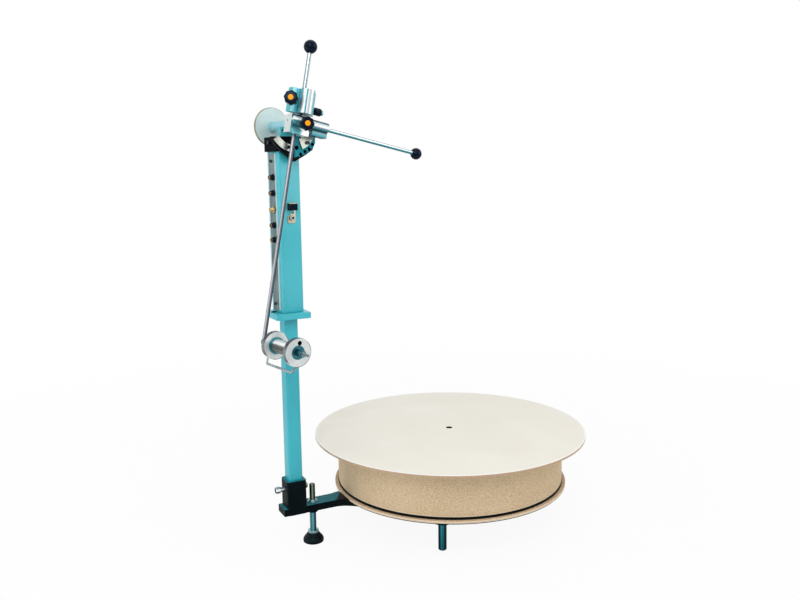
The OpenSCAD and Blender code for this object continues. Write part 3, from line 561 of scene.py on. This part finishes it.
def polished(name, place, facing, stops, rough, metal):
    """Polished bar: bright steel with the long light and dark bands that a bright room leaves on it. The
    bands are a ramp over half a turn about the bar's axis, with the facing angle in the middle."""
    f = Finish(name, BRIGHT_STEEL, rough, metal=metal)
    angle = f.axis(place)[2]
    f.colour(f.ramp(f.drift(f.half_turn(angle, facing), 25, 2, 0.03), stops))
    f.roughness(f.noise(120, 2), rough - 0.02, rough + 0.1)
    return f.mat


def plain_metal(name, colour, dark, rough):
    """Bright metal with a brushed cloud in its colour and gloss."""
    f = Finish(name, colour, rough, metal=1.0)
    f.colour(f.cloud(dark, colour, 55, 4, (1, 1, 0.25)))
    f.roughness(f.noise(160, 4), rough - 0.07, rough + 0.1)
    f.bump(f.noise(700), 0.05, 0.0002)
    return f.mat


def moulded(name, colour, rough, grain):
    """Moulded plastic with a fine matt grain."""
    f = Finish(name, colour, rough, spec=0.2)
    f.colour(f.cloud(colour, lighter(colour, 1.3, 0.002), 80, span=(0.25, 0.8)))
    f.roughness(f.noise(200), rough - 0.05, rough + 0.08)
    f.bump(f.noise(900), grain, 0.0004)
    return f.mat


def soft_black(name, colour, rough, grain, spec=0.28, tint=BLUE_SHEEN):
    """Black paint, rubber or plastic: dark, faintly blue-green where it catches light, with a fine pebbled
    skin."""
    f = Finish(name, colour, rough, spec=spec)
    f.put("Specular Tint", lin(tint))
    f.colour(f.cloud(colour, lighter(colour, 2.0, 0.001), 22, 4, span=(0.3, 0.8)))
    f.roughness(f.noise(80), rough - 0.08, rough + 0.1)
    f.bump(f.noise(380, 4), grain, 0.0005)
    return f.mat


def board(name):
    """White laminate on fibreboard: cream faces with a faint mottle and a painted highlight along the rim, a
    brown cut edge where the radius is close to the rim and the height is below the laminate skin, and painted
    shade in the hole."""
    f = Finish(name, (238, 235, 226), 0.42, coat=0.15)
    z, radius, angle = f.axis(DRUM)
    face = f.cloud((238, 233, 219), (243, 239, 228), 7, 4)
    edge = f.cloud((170, 137, 106), (200, 172, 143), 900)
    # Painted highlight along the rim of the top face.
    rim_highlit = f.mix(f.over(radius, TOP_R - 4.0), face, (250, 248, 242))
    cut = f.mix(f.times(f.over(radius, TOP_R - 0.75), f.under(z, TOP_Z - 0.8)), rim_highlit, edge)
    # Painted shade in the hole.
    f.colour(f.mix(f.under(radius, TOP_HOLE_R + 0.5), cut, (46, 34, 22)))
    f.roughness(f.noise(40), 0.36, 0.5)
    f.bump(f.noise(1200, 2), 0.03, 0.0002)
    return f.mat


def fibreboard(name):
    """Bare fibreboard: warm tan with fine pale and dark fibres and a soft cloud, paler along its lowest 2 mm."""
    f = Finish(name, (198, 175, 145), 0.75)
    z = f.axis(DRUM)[0]
    fibre = f.noise(290, 5, (1, 1, 1.3), 0.7)
    both = f.plus(f.times(f.noise(9), 0.12), f.times(fibre, 0.88))
    tan = f.ramp(both, [(0.32, (174, 145, 104)), (0.5, (207, 183, 148)), (0.68, (228, 207, 177))])
    f.colour(f.mix(f.under(z, CORE_LOW + 2.2), tan, (222, 206, 182)))
    f.roughness(fibre, 0.66, 0.85)
    f.bump(fibre, 0.18, 0.0004)
    return f.mat


def plywood(name):
    """Cut board edge: thin pale and brown layers by height, with a fine grain, painted shade on the upper face
    under the drum and a dark line along the foot."""
    f = Finish(name, (214, 195, 170), 0.7)
    z, radius, angle = f.axis(DRUM)
    layer_t = 3.4
    layer = f.times(f.math("SINE", f.times(z, TAU / layer_t)), 0.24)
    edge = f.ramp(f.plus(layer, f.noise(350, 3, (1, 1, 4))),
                  [(0.25, (194, 166, 133)), (0.5, (226, 207, 182)), (0.8, (240, 221, 196))])
    # Painted shade on the upper face under the drum.
    top = f.times(f.over(z, DISC_HIGH - 0.4), f.under(radius, DRUM_R + 1.3))
    foot = f.under(z, DISC_LOW + 1.3)
    f.colour(f.mix(f.math("MAXIMUM", top, foot), edge, (6, 7, 8)))
    f.bump(f.noise(700), 0.15, 0.0003)
    return f.mat


def flange_metal(name):
    """Roller flange: matt pale alloy faces with fine turned rings, a polished rim with painted reflections in
    light and dark bands round the axis, and painted shade in the front flange's small hole."""
    f = Finish(name, (206, 209, 202), 0.42, metal=0.55)
    z, radius, angle = f.axis(ROLL)
    hole = f.axis(FLANGE_HOLE)[1]
    ring_pitch, rim_start, hole_r, front_flange = 1.1, 29.6, 5.0, -160.0
    rings = f.math("SINE", f.times(radius, TAU / ring_pitch))
    face = f.ramp(f.plus(f.times(rings, 0.1), f.noise(60)), [(0.3, (198, 206, 204)), (0.7, (224, 229, 228))])
    rim = f.over(radius, rim_start)
    # Painted reflections in bands on the rim.
    whole = f.mix(rim, face, f.ramp(f.half_turn(angle, RIM_VIEW), RIM_BANDS))
    # Painted shade in the front flange's small hole, where the gloss is also taken away.
    hole_shade = f.times(f.under(hole, hole_r), f.under(z, front_flange))
    f.colour(f.mix(hole_shade, whole, (5, 6, 8)))
    solid = f.math("SUBTRACT", 1.0, hole_shade)
    f.link(f.times(solid, 0.55), f.bsdf.inputs["Metallic"])
    f.link(f.times(solid, 0.5), f.bsdf.inputs["Specular IOR Level"])
    f.roughness(rim, 0.4, 0.16)
    f.bump(rings, 0.04, 0.0002)
    return f.mat


def core_metal(name):
    """Roller core: painted reflections in polished bands along the bar, with dark blue-green ends, painted
    shade where the flanges shade it.
    """
    f = Finish(name, BRIGHT_STEEL, 0.24, metal=0.6)
    z, radius, angle = f.axis(ROLL)
    # Painted reflections in bands; painted shade on the ends.
    bands = f.ramp(f.half_turn(angle, CORE_VIEW), CORE_BANDS)
    shade = f.cloud((44, 116, 130), (76, 146, 158), 50)
    front_end, back_end = -200.5, -121.2
    ends = f.math("MAXIMUM", f.under(z, front_end), f.over(z, back_end))
    f.colour(f.mix(ends, bands, shade))
    f.roughness(f.noise(120, 2), 0.2, 0.32)
    return f.mat


def disc_plastic(name):
    """Pale disc: a smooth, faintly green-white face with a soft cloud, and an olive-grey rim."""
    f = Finish(name, (208, 222, 216), 0.4)
    radius = f.axis(PIVOT)[1]
    face = f.cloud((192, 215, 213), (214, 233, 232), 18)
    rim = f.cloud((96, 99, 68), (152, 154, 126), 40)
    rim_start = 42.6
    f.colour(f.mix(f.over(radius, rim_start), face, rim))
    f.roughness(f.noise(60), 0.34, 0.48)
    f.bump(f.noise(600, 2), 0.03, 0.0002)
    return f.mat


def panel_alloy(name):
    """Connector panel: dull grey-green alloy in a brushed cloud, with paler borders along its front and back
    edges.
    """
    f = Finish(name, (176, 198, 198), 0.42, metal=0.8)
    across = f.axis(HEAD.at([-29, -1.5, 0], ALONG_Y))[0]
    face = f.cloud((80, 102, 104), (130, 152, 152), 60, 4, (1, 1, 0.3))
    half_face = 14.0
    f.colour(f.mix(f.over(f.math("ABSOLUTE", across), half_face), face, (226, 234, 234)))
    f.roughness(f.noise(160, 4), 0.34, 0.5)
    return f.mat


def hub_metal(name):
    """Cross block: pale brushed side faces, a barrel front with painted reflections in polished bands round
    its axis, and a lower lip with a painted reflection that goes from blue-green to white along its length."""
    f = Finish(name, (206, 214, 216), 0.36, metal=0.6)
    along, radius, angle = f.axis(CROSS.at([0, -77.5, 5], ALONG_X))
    height = f.axis(CROSS)[0]
    length, lip_top, end_face = 40.0, -9.0, -23.2
    # Painted reflections: bands round the barrel, and blue-green to white along the lip.
    bands = f.ramp(f.half_turn(angle, ACROSS_VIEW), CLAMP_BANDS)
    lip = f.ramp(f.plus(f.times(along, 1 / length), 0.5),
                 [(0.0, (120, 190, 198)), (0.45, (84, 168, 178)), (0.62, (240, 243, 240)),
                  (1.0, (250, 250, 248))])
    face = f.cloud((196, 206, 208), (222, 228, 229), 40)
    front = f.mix(f.under(height, lip_top), bands, lip)
    f.colour(f.mix(f.under(along, end_face), front, face))
    f.roughness(f.noise(120, 2), 0.32, 0.46)
    return f.mat


def side_clamp_metal(name):
    """Side clamp: painted reflections in polished bands along its barrel and its lower block, as a ramp over
    its height.
    """
    f = Finish(name, (206, 214, 216), 0.32, metal=0.6)
    clamp_low, clamp_h = -18.0, 34.75
    height = f.axis(CROSS.at([0, -81, clamp_low]))[0]
    # Painted reflections in bands by height.
    f.colour(f.ramp(f.times(height, 1 / clamp_h), SIDE_CLAMP_BANDS))
    f.roughness(f.noise(120, 2), 0.28, 0.4)
    return f.mat


def stop_metal(name):
    """Stop plate: a painted blue-green reflection to the right that falls to black on the left, by the angle
    round the pivot, with a black rim with a ragged inner edge, and black on its edges and in its holes."""
    f = Finish(name, (30, 120, 134), 0.4, spec=0.05)
    z, radius, angle = f.axis(PIVOT)
    rim_start, rim_wobble, front_face = 70.2, 12.0, -46.4
    # Painted reflection: blue-green to the right, falling to black on the left.
    face = f.ramp(f.drift(f.times(angle, 1 / np.pi), 45, 3, 0.06),
                  [(0.1, (30, 92, 104)), (0.22, (40, 150, 168)), (0.34, (30, 128, 146)),
                   (0.46, (50, 152, 166)), (0.5, (10, 50, 60)), (0.54, (5, 9, 11)), (1.0, (5, 8, 10))])
    # A black rim with a ragged inner edge.
    rimmed = f.mix(f.over(f.drift(radius, 110, 3, rim_wobble), rim_start), face, (5, 10, 12))
    f.colour(f.mix(f.over(z, front_face), rimmed, (4, 7, 9)))
    f.roughness(f.noise(90), 0.34, 0.5)
    return f.mat


def bearing_paint(name):
    """Pivot bracket: turquoise front wall and ear with painted shade in its hole, and a paler enamelled barrel
    behind them."""
    f = Finish(name, (150, 206, 216), 0.34, coat=0.3)
    z, radius, angle = f.axis(PIVOT)
    hole = f.axis(HEAD.at([-24.5, 0, PIVOT_Z - 13], ALONG_Y))[1]
    wall_back, barrel_r, hole_r = -36.5, 11.2, 3.3
    wall = f.cloud((44, 158, 174), (78, 190, 202), 40)
    barrel = f.cloud((130, 192, 204), (154, 208, 218), 20)
    both = f.mix(f.times(f.under(z, wall_back), f.over(radius, barrel_r)), barrel, wall)
    # Painted shade in the hole.
    f.colour(f.mix(f.under(hole, hole_r), both, (4, 9, 11)))
    f.roughness(f.noise(60), 0.28, 0.42)
    return f.mat


def casting(name):
    """Black painted casting: pebbled dark skin, with a painted blue-green sheen on the faces that look up, and
    painted shade, black again, beside the drum, where the discs shade it along a slanting line."""
    f = Finish(name, (7, 10, 13), 0.46, spec=0.08)
    f.put("Specular Tint", lin(BLUE_SHEEN))
    black, white = (0, 0, 0), (255, 255, 255)
    normal = f.add("ShaderNodeSeparateXYZ")
    f.link(f.add("ShaderNodeNewGeometry").outputs["Normal"], normal.inputs[0])
    skin = f.cloud((5, 8, 10), (13, 17, 21), 22, 4, span=(0.3, 0.8))
    # Painted sheen on the faces that look up; painted shade beside the drum.
    sky_sheen = f.cloud((26, 98, 110), (46, 130, 143), 30, 4, span=(0.3, 0.75))
    shade_x, shade_slant, shade_w = -318.5, -32.6, 10.0
    past = f.axis(DRUM.at([shade_x, 0, 0], turn_z(shade_slant) @ ALONG_X))[0]
    shaded = f.ramp(f.plus(f.times(past, 1 / shade_w), 0.5), [(0.3, black), (0.7, white)])
    upward = f.ramp(normal.outputs["Z"], [(0.75, black), (0.97, white)])
    f.colour(f.mix(upward, skin, f.mix(shaded, sky_sheen, skin)))
    f.roughness(f.noise(80), 0.38, 0.56)
    f.bump(f.noise(380, 4), 0.14, 0.0005)
    return f.mat


def stud_metal(name):
    """Levelling stud: painted reflections in dark blue-green bands along its leg below the arm and in olive
    ones above it.
    """
    f = Finish(name, (120, 160, 168), 0.26, metal=0.6)
    z, radius, angle = f.axis(FOOT)
    turn, inside_arm = f.half_turn(angle, LEG_VIEW), 90.0
    # Painted reflections in bands round the stud.
    f.colour(f.mix(f.over(z, inside_arm), f.ramp(turn, LOW_STUD_BANDS), f.ramp(turn, TOP_STUD_BANDS)))
    f.roughness(f.noise(120, 2), 0.24, 0.36)
    return f.mat


def washer_screw(name):
    """Bracket screw: a bright washer with a dark rim line, round a screw head with a pale ring and a black
    middle, painted shade in its socket.
    """
    f = Finish(name, (200, 204, 202), 0.3, metal=0.8)
    radius = f.axis(HEAD.at([0.5, 0, 794], ALONG_Y))[1]
    ramp_r = 7.143
    # The black middle is painted shade in the screw's socket.
    f.colour(f.ramp(f.times(radius, 1 / ramp_r),
                    [(0.0, (8, 10, 12)), (0.36, (14, 18, 20)), (0.42, (150, 156, 156)),
                     (0.6, (206, 208, 202)), (0.76, (190, 190, 178)), (0.84, (50, 52, 48))]))
    f.roughness(f.noise(160), 0.24, 0.4)
    return f.mat


def hollow_screw(name):
    """Clamp screws: painted reflections in light and dark bands along the left one and in olive ones along the
    right one, and a dark brass hollow in each end."""
    f = Finish(name, BRIGHT_STEEL, 0.26, metal=0.6)
    z, radius, angle = f.axis(CLAMP.at([0, 0, 0], ALONG_X))
    turn, hollow_r = f.half_turn(angle, ACROSS_VIEW), 5.2
    # Painted reflections in bands round each screw.
    both = f.mix(f.over(z, 0.0), f.ramp(turn, SCREW_BANDS), f.ramp(turn, OLIVE_BANDS))
    f.colour(f.mix(f.under(radius, hollow_r), both, (56, 52, 30)))
    f.roughness(f.noise(120, 2), 0.22, 0.34)
    return f.mat


TEAL = paint("turquoise paint", (66, 190, 203), (56, 182, 196), 0.42)
# The post has a darker copy of the turquoise paint.
POST_TEAL = paint("turquoise post paint", (48, 181, 195), (38, 172, 187), 0.42)
PALE_BLUE = paint("pale blue enamel", (150, 206, 216), (128, 190, 202), 0.3)
IRON = casting("black painted casting")
BLACK = soft_black("black gloss paint", (2, 6, 9), 0.42, 0.05, 0.02)
SHEET = soft_black("black sheet paint", (5, 5, 6), 0.6, 0.04)
RUBBER = soft_black("foot rubber", (7, 10, 13), 0.5, 0.2, 0.17)
KNOB = soft_black("black moulded plastic", (6, 8, 20), 0.12, 0.004, 0.2, (140, 195, 240))
ORANGE = moulded("orange moulded plastic", (246, 152, 6), 0.4, 0.05)
STEEL = plain_metal("turned steel", (176, 184, 186), (104, 120, 126), 0.26)
DARK_STEEL = plain_metal("dark screw steel", (84, 92, 98), (40, 48, 54), 0.35)
COLLAR = plain_metal("pale collar steel", (190, 216, 222), (124, 162, 168), 0.3)
AXLE_COLLAR = plain_metal("dark collar steel", (66, 132, 148), (26, 62, 74), 0.38)
ARC_METAL = plain_metal("arc stop metal", (200, 204, 196), (150, 152, 138), 0.3)
BRACKET = plain_metal("bracket metal", (206, 200, 176), (160, 150, 118), 0.3)
# The thumbscrew end's pale blue-green is a painted highlight on the steel.
THUMB_END = plain_metal("thumbscrew end", (150, 204, 212), (84, 150, 160), 0.3)
GUARD = plain_metal("guard wire steel", (206, 214, 216), (110, 124, 128), 0.2)
BRASS = plain_metal("turned brass", (168, 146, 104), (84, 68, 44), 0.34)
PALE_BRASS = plain_metal("pale brass", (226, 208, 156), (158, 130, 76), 0.3)
SEEN_LEG = DRUM.at(turn_z(-LEG_SPREAD) @ np.array([LEG_REACH, 0, 0]))
LEG = polished("polished leg", SEEN_LEG, LEG_VIEW, LEG_BANDS, 0.16, 1.0)
UPPER_CLAMP = polished("polished upper clamp", CROSS.at([2, -90, 0]), UPRIGHT_VIEW, BOSS_BANDS, 0.3, 0.6)
DANCER = polished("polished dancer rod", ROD_DOWN, UPRIGHT_VIEW, GREY_BANDS, 0.28, 0.7)
UPPER_ROD = polished("polished upper rod", ROD_UP, UPRIGHT_VIEW, ROD_BANDS, 0.28, 0.6)
SIDE_ROD = polished("polished side rod", ROD_SIDE, ACROSS_VIEW, CLAMP_BANDS, 0.28, 0.6)

# Turntable
turned("top_board", DRUM, collar(TOP_HOLE_R, TOP_Z, TOP_R, TOP_Z - TOP_T),
       "turntable", board("white laminate board"), ["top_disc"], 0.7, 256)
turned("drum_wall", DRUM, collar(DRUM_R, TOP_Z - TOP_T, DRUM_R - DRUM_WALL, CORE_LOW),
       "turntable", fibreboard("bare fibreboard"), ["drum_core"], 1.2, 256)
turned("wood_disc", DRUM, collar(DISC_HOLE_R, DISC_HIGH, DISC_R, DISC_LOW),
       "base", plywood("cut board edge"), ["base_disc"], 1.0, 256)
keeps_shape(SHEET, "rotor_plate", "base_sheet")

# Legs: polished posts with a chamfered foot
leg_profile = rounded([(0, 0), (LEG_R - 2, 0), (LEG_R, 2), (LEG_R, LEG_TOP), (0, LEG_TOP)], 0.5)
leg_grids = []
for deg in (0.0, LEG_SPREAD, -LEG_SPREAD):
    leg_grids.append(lathe(DRUM.at(turn_z(deg) @ np.array([LEG_REACH, 0, 0])), leg_profile, 64))
piece("leg_posts", leg_grids, "base", LEG, ["legs"])


# Frame and arm

def arm_to_disc(points):
    """Arm points: the socket's square hole is scaled about the mast axis to the tube's side and its slack,
    and the slope beside the drum is shortened to a quarter and moved up to the disc's edge."""
    cad_hole, slack, hole_reach, hole_low = 30.6, 0.6, 16.0, 103.0
    slope_start, slope_end, slope_low = -313.2, -303.8, 92.0
    slope_top, disc_edge, shorten = -304.0, -302.2, 0.25
    p = points * 1000.0 - DRUM.origin
    beside, across, up = np.abs(p[:, 0] + MAST_REACH), np.abs(p[:, 1]), p[:, 2]
    hole = (beside < hole_reach) & (across < hole_reach) & (up > hole_low)
    widen = (POST_W + slack) / cad_hole
    p[hole, 0] = (p[hole, 0] + MAST_REACH) * widen - MAST_REACH
    p[hole, 1] *= widen
    slope = (p[:, 0] > slope_start) & (p[:, 0] < slope_end) & (up > slope_low)
    p[slope, 0] = disc_edge + shorten * (p[slope, 0] - slope_top)
    return (p + DRUM.origin) / 1000.0


softened("base_frame", "base", IRON, 1.5)
softened("mast_arm", "base", IRON, 1.6, reshape=arm_to_disc)

# Levelling foot
nut_rings = [lathe(FOOT, rounded(collar(7.25, 103, 12, 104.9), 0.4), 64),
             lathe(FOOT, rounded(collar(7.25, 105, 10, 108.5), 0.7), 64)]
bell_profile = [(0, 0), (22.6, 0), (25, 1.6), (25, 8), (23.8, 10.4), (21.4, 14.6), (17.6, 17.4),
                (16.7, 20.2), (13.6, 23.6), (12.8, 24), (0, 24)]
stud_profile = [(0, 30), (7.8, 30), (7.8, 76.4), (7, 77.4), (7, 146.4), (6, 147.6), (0, 147.6)]
turned("foot_collar", FOOT, [(0, 24), (13, 24), (13, 30), (12, 31), (0, 31)],
       "foot", COLLAR, (), 0.5, 64)
turned("level_screw", FOOT, stud_profile, "foot", stud_metal("polished stud"), ["level_stud"],
       0.5, 64)
piece("lock_nut", nut_rings, "base", COLLAR, ["level_nut"])
turned("foot_bell", FOOT, bell_profile, "foot", RUBBER, ["rubber_foot"], 1.0, 96)

# Clamp screws through the socket
screw_tip = POST_W / 2 + 0.6
shank = [(0, screw_tip), (4, screw_tip), (4, SOCKET_SIDE)]
left_screw = shank + [(5.6, SOCKET_SIDE), (5.6, 34), (8, 35.8), (8.3, 40), (7.8, 45.4), (6.4, 47), (4.4, 47),
                      (4.4, 43), (0, 43)]
right_screw = shank + [(8.5, SOCKET_SIDE), (8.5, 27.4), (7, 28.4), (7, 31.8), (6, 33), (3.75, 33), (3.75, 29),
                       (0, 29)]
screw_grids = [lathe(CLAMP.at([0, 0, 0], SIDE), rounded(left_screw, 0.6), 48),
               lathe(CLAMP.at([0, 0, 0], ALONG_X), rounded(right_screw, 0.6), 48)]
piece("clamp_screws", screw_grids, "base", hollow_screw("polished clamp screw"), ["socket_screws"])

# Mast
block("mast_tube", POST_W, MAST, POST_LOW, POST_TOP, 4, "mast", POST_TEAL, ["mast_post"])
block("mast_box", HOUSING_W, HEAD, HOUSING_LOW, HOUSING_TOP, 4, "head", TEAL, ["mast_housing"])
softened("flange_plate", "mast", TEAL, 1.4)
softened("panel", "head", panel_alloy("panel alloy"), 0.4, 2)
turned("grommet_ring", MAST.at([-35, 2, 0]),
       [(0, 567), (4.5, 567), (4.5, 577), (5.5, 577), (5.5, 579), (2.6, 579), (2.4, 576), (0, 576)],
       "mast", BLACK, ["grommet"], 0.5, 48)

# Sockets and sensor on the housing
plug_profile = [(0, 3), (5.5, 3), (5.5, 5), (4.9, 5.6), (4.9, 6.4), (5.5, 7), (5.5, 8.5), (0, 8.5)]
tip_profile = [(0, 9.1), (2.25, 9.1), (2.25, 10.8), (2.6, 11), (4.2, 11), (4.5, 10.7), (4.5, 8.5), (0, 8.5)]
plugs, tips = [], []
for z in PLUG_Z:
    plug = HEAD.at([PANEL_FACE, PLUG_Y, z], SIDE)
    plugs += [knurled_grid(plug, 7.5, 0.4, 18, 0, 3.5), lathe(plug, rounded(plug_profile, 0.3), 40)]
    tips.append(lathe(plug, rounded(tip_profile, 0.2), 32))
piece("socket_nuts", plugs, "head", KNOB, ["panel_plugs"])
piece("socket_tips", tips, "head", BRASS, ["panel_tips"])
brass = HEAD.at([PANEL_FACE, PLUG_Y, BRASS_Z], SIDE)
brass_grids = [hex_grid(brass, 13, 0, 3, 0.5), thread_grid(brass, 4.5, 0.35, 1.0, 3, 10.2),
               lathe(brass, rounded([(2.5, 6), (2.5, 11), (4.3, 11), (4.3, 10), (2.5, 10)], 0.3), 32)]
piece("brass_fitting", brass_grids, "head", PALE_BRASS, ["brass_socket"])
softened("sensor_bracket", "head", BRACKET, 0.5, 2)
softened("sensor_block", "head", KNOB, 0.8)

# Head
softened("head_cap", "head", BLACK, 2.2, 4)
softened("stop_plate", "head", stop_metal("stop plate metal"), 0.6, 2)
softened("pivot_bearing", "head", bearing_paint("bracket paint"), 1.0)
softened("arc_stops", "head", ARC_METAL, 0.5, 2)

# Cross and rods
softened("hub_block", "cross", hub_metal("block metal"), 0.9)
softened("upper_clamp", "cross", UPPER_CLAMP, 0.8)
softened("side_clamp", "cross", side_clamp_metal("polished side clamp"), 0.8)
turned("dancer_bar", ROD_DOWN, pin(BAR_R, 4 - ARM, -12), "cross", DANCER, ["dancer_rod"],
       0.4, 48)
turned("upper_bar", ROD_UP, pin(BAR_R, 24, UPPER_END), "upper_handle", UPPER_ROD, ["upper_rod"],
       0.4, 48)
turned("side_bar", ROD_SIDE, pin(BAR_R, 20, SIDE_END), "side_handle", SIDE_ROD, ["side_rod"],
       0.4, 48)
piece("upper_ball", [lathe(ROD_UP, ball_profile(15, UPPER_END), 64)], "upper_handle", KNOB,
      ["upper_ball_knob"], 40)
piece("side_ball", [lathe(ROD_SIDE, ball_profile(14, SIDE_END), 64)], "side_handle", KNOB,
      ["side_ball_knob"], 40)


# Knobs and thumbscrew

def knob(name, place, body, grip_node, cap_node):
    """A lobed knob with its stem, and its orange cap."""
    grids = [lobed_grid(place, KNOB_D, KNOB_H), lathe(place, pin(STEM_R, -STEM_L, 0.5), 32),
             lathe(place, rounded([(0, -3), (8.5, -3), (9.5, 0.2), (0, 0.2)], 0.6), 48)]
    piece(name + "_grip", grids, body, KNOB, [grip_node], 40)
    cap = [(0, 15), (CAP_R, 15), (CAP_R, 17.2), (CAP_R - 0.8, 18), (0, 18.2)]
    turned(name + "_button", place, cap, body, ORANGE, [cap_node], 0.6, 48)


knob("pivot_clamp", CROSS.at([1, -108.5, 0], turn_z(-22)).at([0, 8.5, 0], FRONT),
     "pivot_knob_body", "pivot_knob", "pivot_knob_cap")
knob("rod_clamp", CROSS.at([-24, -74, 47], turn_z(-36)).at([0, -17, 0], FRONT),
     "upper_knob_body", "upper_knob", "upper_knob_cap")
piece("thumb_screw", [lathe(THUMB, pin(3, 10, 34), 24), knurled_grid(THUMB, 8.5, 0.5, 16, 33, 51, 1.6)],
      "side_knob_body", KNOB, ["side_knob"])
turned("thumb_tip", THUMB, [(0, 50), (6, 50), (6, 55), (5, 56), (0, 56)], "side_knob_body", THUMB_END, (),
       0.5, 40)

# Roller
softened("roller_flanges", "roller", flange_metal("turned flange alloy"), 1.4, 3)
# A black floor closes the front flange's small hole, as painted shade in the hole.
turned("flange_hole_floor", FLANGE_HOLE, pin(3.95, -205, -202.5), "roller", BLACK, (), 0.2, 32)
softened("roller_core", "roller", core_metal("polished roller core"), 0.5, 2)
softened("axle", "cross", STEEL, 0.6, 2)
softened("axle_nut", "cross", AXLE_COLLAR, 0.6, 2)
wire_path = rounded([(0, -84, -5), (0, -84, -45), (0, -194, -45), (9.6, -194, -32.2)], 5, 9)
piece("guard_bar", [swept_grid(WIRE, wire_path, 2.75)], "cross", GUARD, ["guard_wire"], 50)

# White disc behind the pivot
turned("dial_plate", PIVOT, [(12.1, 46), (42.6, 46), (44, 47), (44, 52), (42.6, 53), (12.1, 53), (12.1, 46)],
       "dial", disc_plastic("pale disc plastic"), ["dial_disc"], 0.7, 128)
turned("dial_bush", PIVOT, [(8.05, 36), (12, 36), (12, 53), (16, 53), (16, 56), (8.05, 56), (8.05, 36)],
       "dial", PALE_BLUE, ["dial_hub"], 0.6, 64)

# CAD nodes that keep their own shape
keeps_shape(STEEL, "spindle", "bearings", "pivot_shaft")
keeps_shape(DARK_STEEL, "arm_bolts", "hub_sleeve", "hub_bolts", "swivel_bush", "panel_screws", "cap_screws",
            "arc_screws", "block_screw")
keeps_shape(washer_screw("washer and screw"), "bracket_screw")

# Camera at the photograph's angle: fitted in a frame whose Y axis looks away from the camera, with the focal
# length in pixels of the photograph's width.
YAW, PITCH, BANK, FOCAL, PHOTO_W, SENSOR = 26.87, 8.84, -0.69, 830.15, 800.0, 36.0
EYE = np.array([-124.93, -2101.14, 896.09])
view_to_row = turn_z(-YAW)
bank = np.radians(BANK)
right, ahead, up = np.eye(3) @ turn_x(-PITCH).T
basis = np.eye(4)
basis[:3, 0] = view_to_row @ (right * np.cos(bank) + up * np.sin(bank))
basis[:3, 1] = view_to_row @ (up * np.cos(bank) - right * np.sin(bank))
basis[:3, 2] = view_to_row @ -ahead
basis[:3, 3] = DRUM.row(view_to_row @ EYE)
cam = bpy.data.cameras.new("camera")
cam.sensor_fit, cam.sensor_width, cam.lens = "HORIZONTAL", SENSOR, FOCAL * SENSOR / PHOTO_W
cam.clip_start, cam.clip_end = 0.05, 60.0
cam_obj = bpy.data.objects.new("camera", cam)
bpy.context.scene.collection.objects.link(cam_obj)
cam_obj.matrix_world = Matrix(basis.tolist())
bpy.context.scene.camera = cam_obj


# Floor, background and light

def floor_paper(name):
    """Pale floor that takes shadows; the camera sees it mixed with plain white, wholly white far away."""
    f = Finish(name, (0.9, 0.9, 0.9, 1.0), 0.9, spec=0.1)
    glow = f.add("ShaderNodeEmission")
    glow.inputs["Color"].default_value = (1, 1, 1, 1)
    away = f.add("ShaderNodeVectorMath", operation="LENGTH")
    f.link(f.coords, away.inputs[0])
    fade = f.add("ShaderNodeMapRange")
    for socket, value in (("From Min", 0.7), ("From Max", 2.4), ("To Min", 0.93), ("To Max", 1.0)):
        fade.inputs[socket].default_value = value
    f.link(away.outputs["Value"], fade.inputs["Value"])
    seen = f.add("ShaderNodeLightPath").outputs["Is Camera Ray"]
    mixer = f.add("ShaderNodeMixShader")
    f.link(f.times(seen, fade.outputs[0]), mixer.inputs[0])
    f.link(f.bsdf.outputs[0], mixer.inputs[1])
    f.link(glow.outputs[0], mixer.inputs[2])
    f.link(mixer.outputs[0], f.tree.nodes["Material Output"].inputs["Surface"])
    return f.mat


FLOOR_HALF = 9.0
floor = bpy.data.objects.new("floor", bpy.data.meshes.new("floor"))
corners = [(x * FLOOR_HALF, y * FLOOR_HALF, 0) for x, y in ((-1, -1), (1, -1), (1, 1), (-1, 1))]
floor.data.from_pydata(corners, [], [(0, 1, 2, 3)])
bpy.context.scene.collection.objects.link(floor)
floor.data.materials.append(floor_paper("pale floor"))

# The world lights the object softly and shows plain white to the camera and in mirrors and glass.
world = bpy.data.worlds.new("studio")
bpy.context.scene.world = world
world.use_nodes = True
tree = world.node_tree
soft, white = tree.nodes["Background"], tree.nodes.new("ShaderNodeBackground")
for background, strength in ((soft, 0.55), (white, 1.0)):
    background.inputs["Color"].default_value = (1, 1, 1, 1)
    background.inputs["Strength"].default_value = strength
rays = tree.nodes.new("ShaderNodeLightPath").outputs
shown = rays["Is Camera Ray"]
for kind in ("Is Glossy Ray", "Is Transmission Ray"):
    either = tree.nodes.new("ShaderNodeMath")
    either.operation = "MAXIMUM"
    tree.links.new(shown, either.inputs[0])
    tree.links.new(rays[kind], either.inputs[1])
    shown = either.outputs[0]
mixer = tree.nodes.new("ShaderNodeMixShader")
for k, out in enumerate((shown, soft.outputs[0], white.outputs[0])):
    tree.links.new(out, mixer.inputs[k])
tree.links.new(mixer.outputs[0], tree.nodes["World Output"].inputs["Surface"])


def lamp(name, where, aim, size, watts):
    """A square area lamp at a point of the row frame in metres, facing another point."""
    data = bpy.data.lights.new(name, "AREA")
    data.size, data.energy = size, watts
    obj = bpy.data.objects.new(name, data)
    look = Vector(aim) - Vector(where)
    obj.matrix_world = Matrix.Translation(where) @ look.to_track_quat("-Z", "Y").to_matrix().to_4x4()
    bpy.context.scene.collection.objects.link(obj)


lamp("key", (-1.8, -2.2, 2.6), (0, 0, 0.5), 1.6, 40)
lamp("fill", (2.0, -2.0, 1.8), (0, 0, 0.5), 1.8, 20)
lamp("top", (0.0, 0.4, 3.0), (0, 0, 0.3), 2.2, 8)
lamp("left", (-2.2, 0.3, 0.5), (0.1, 0, 0.2), 1.2, 8)

bpy.context.scene.view_settings.view_transform = "Standard"
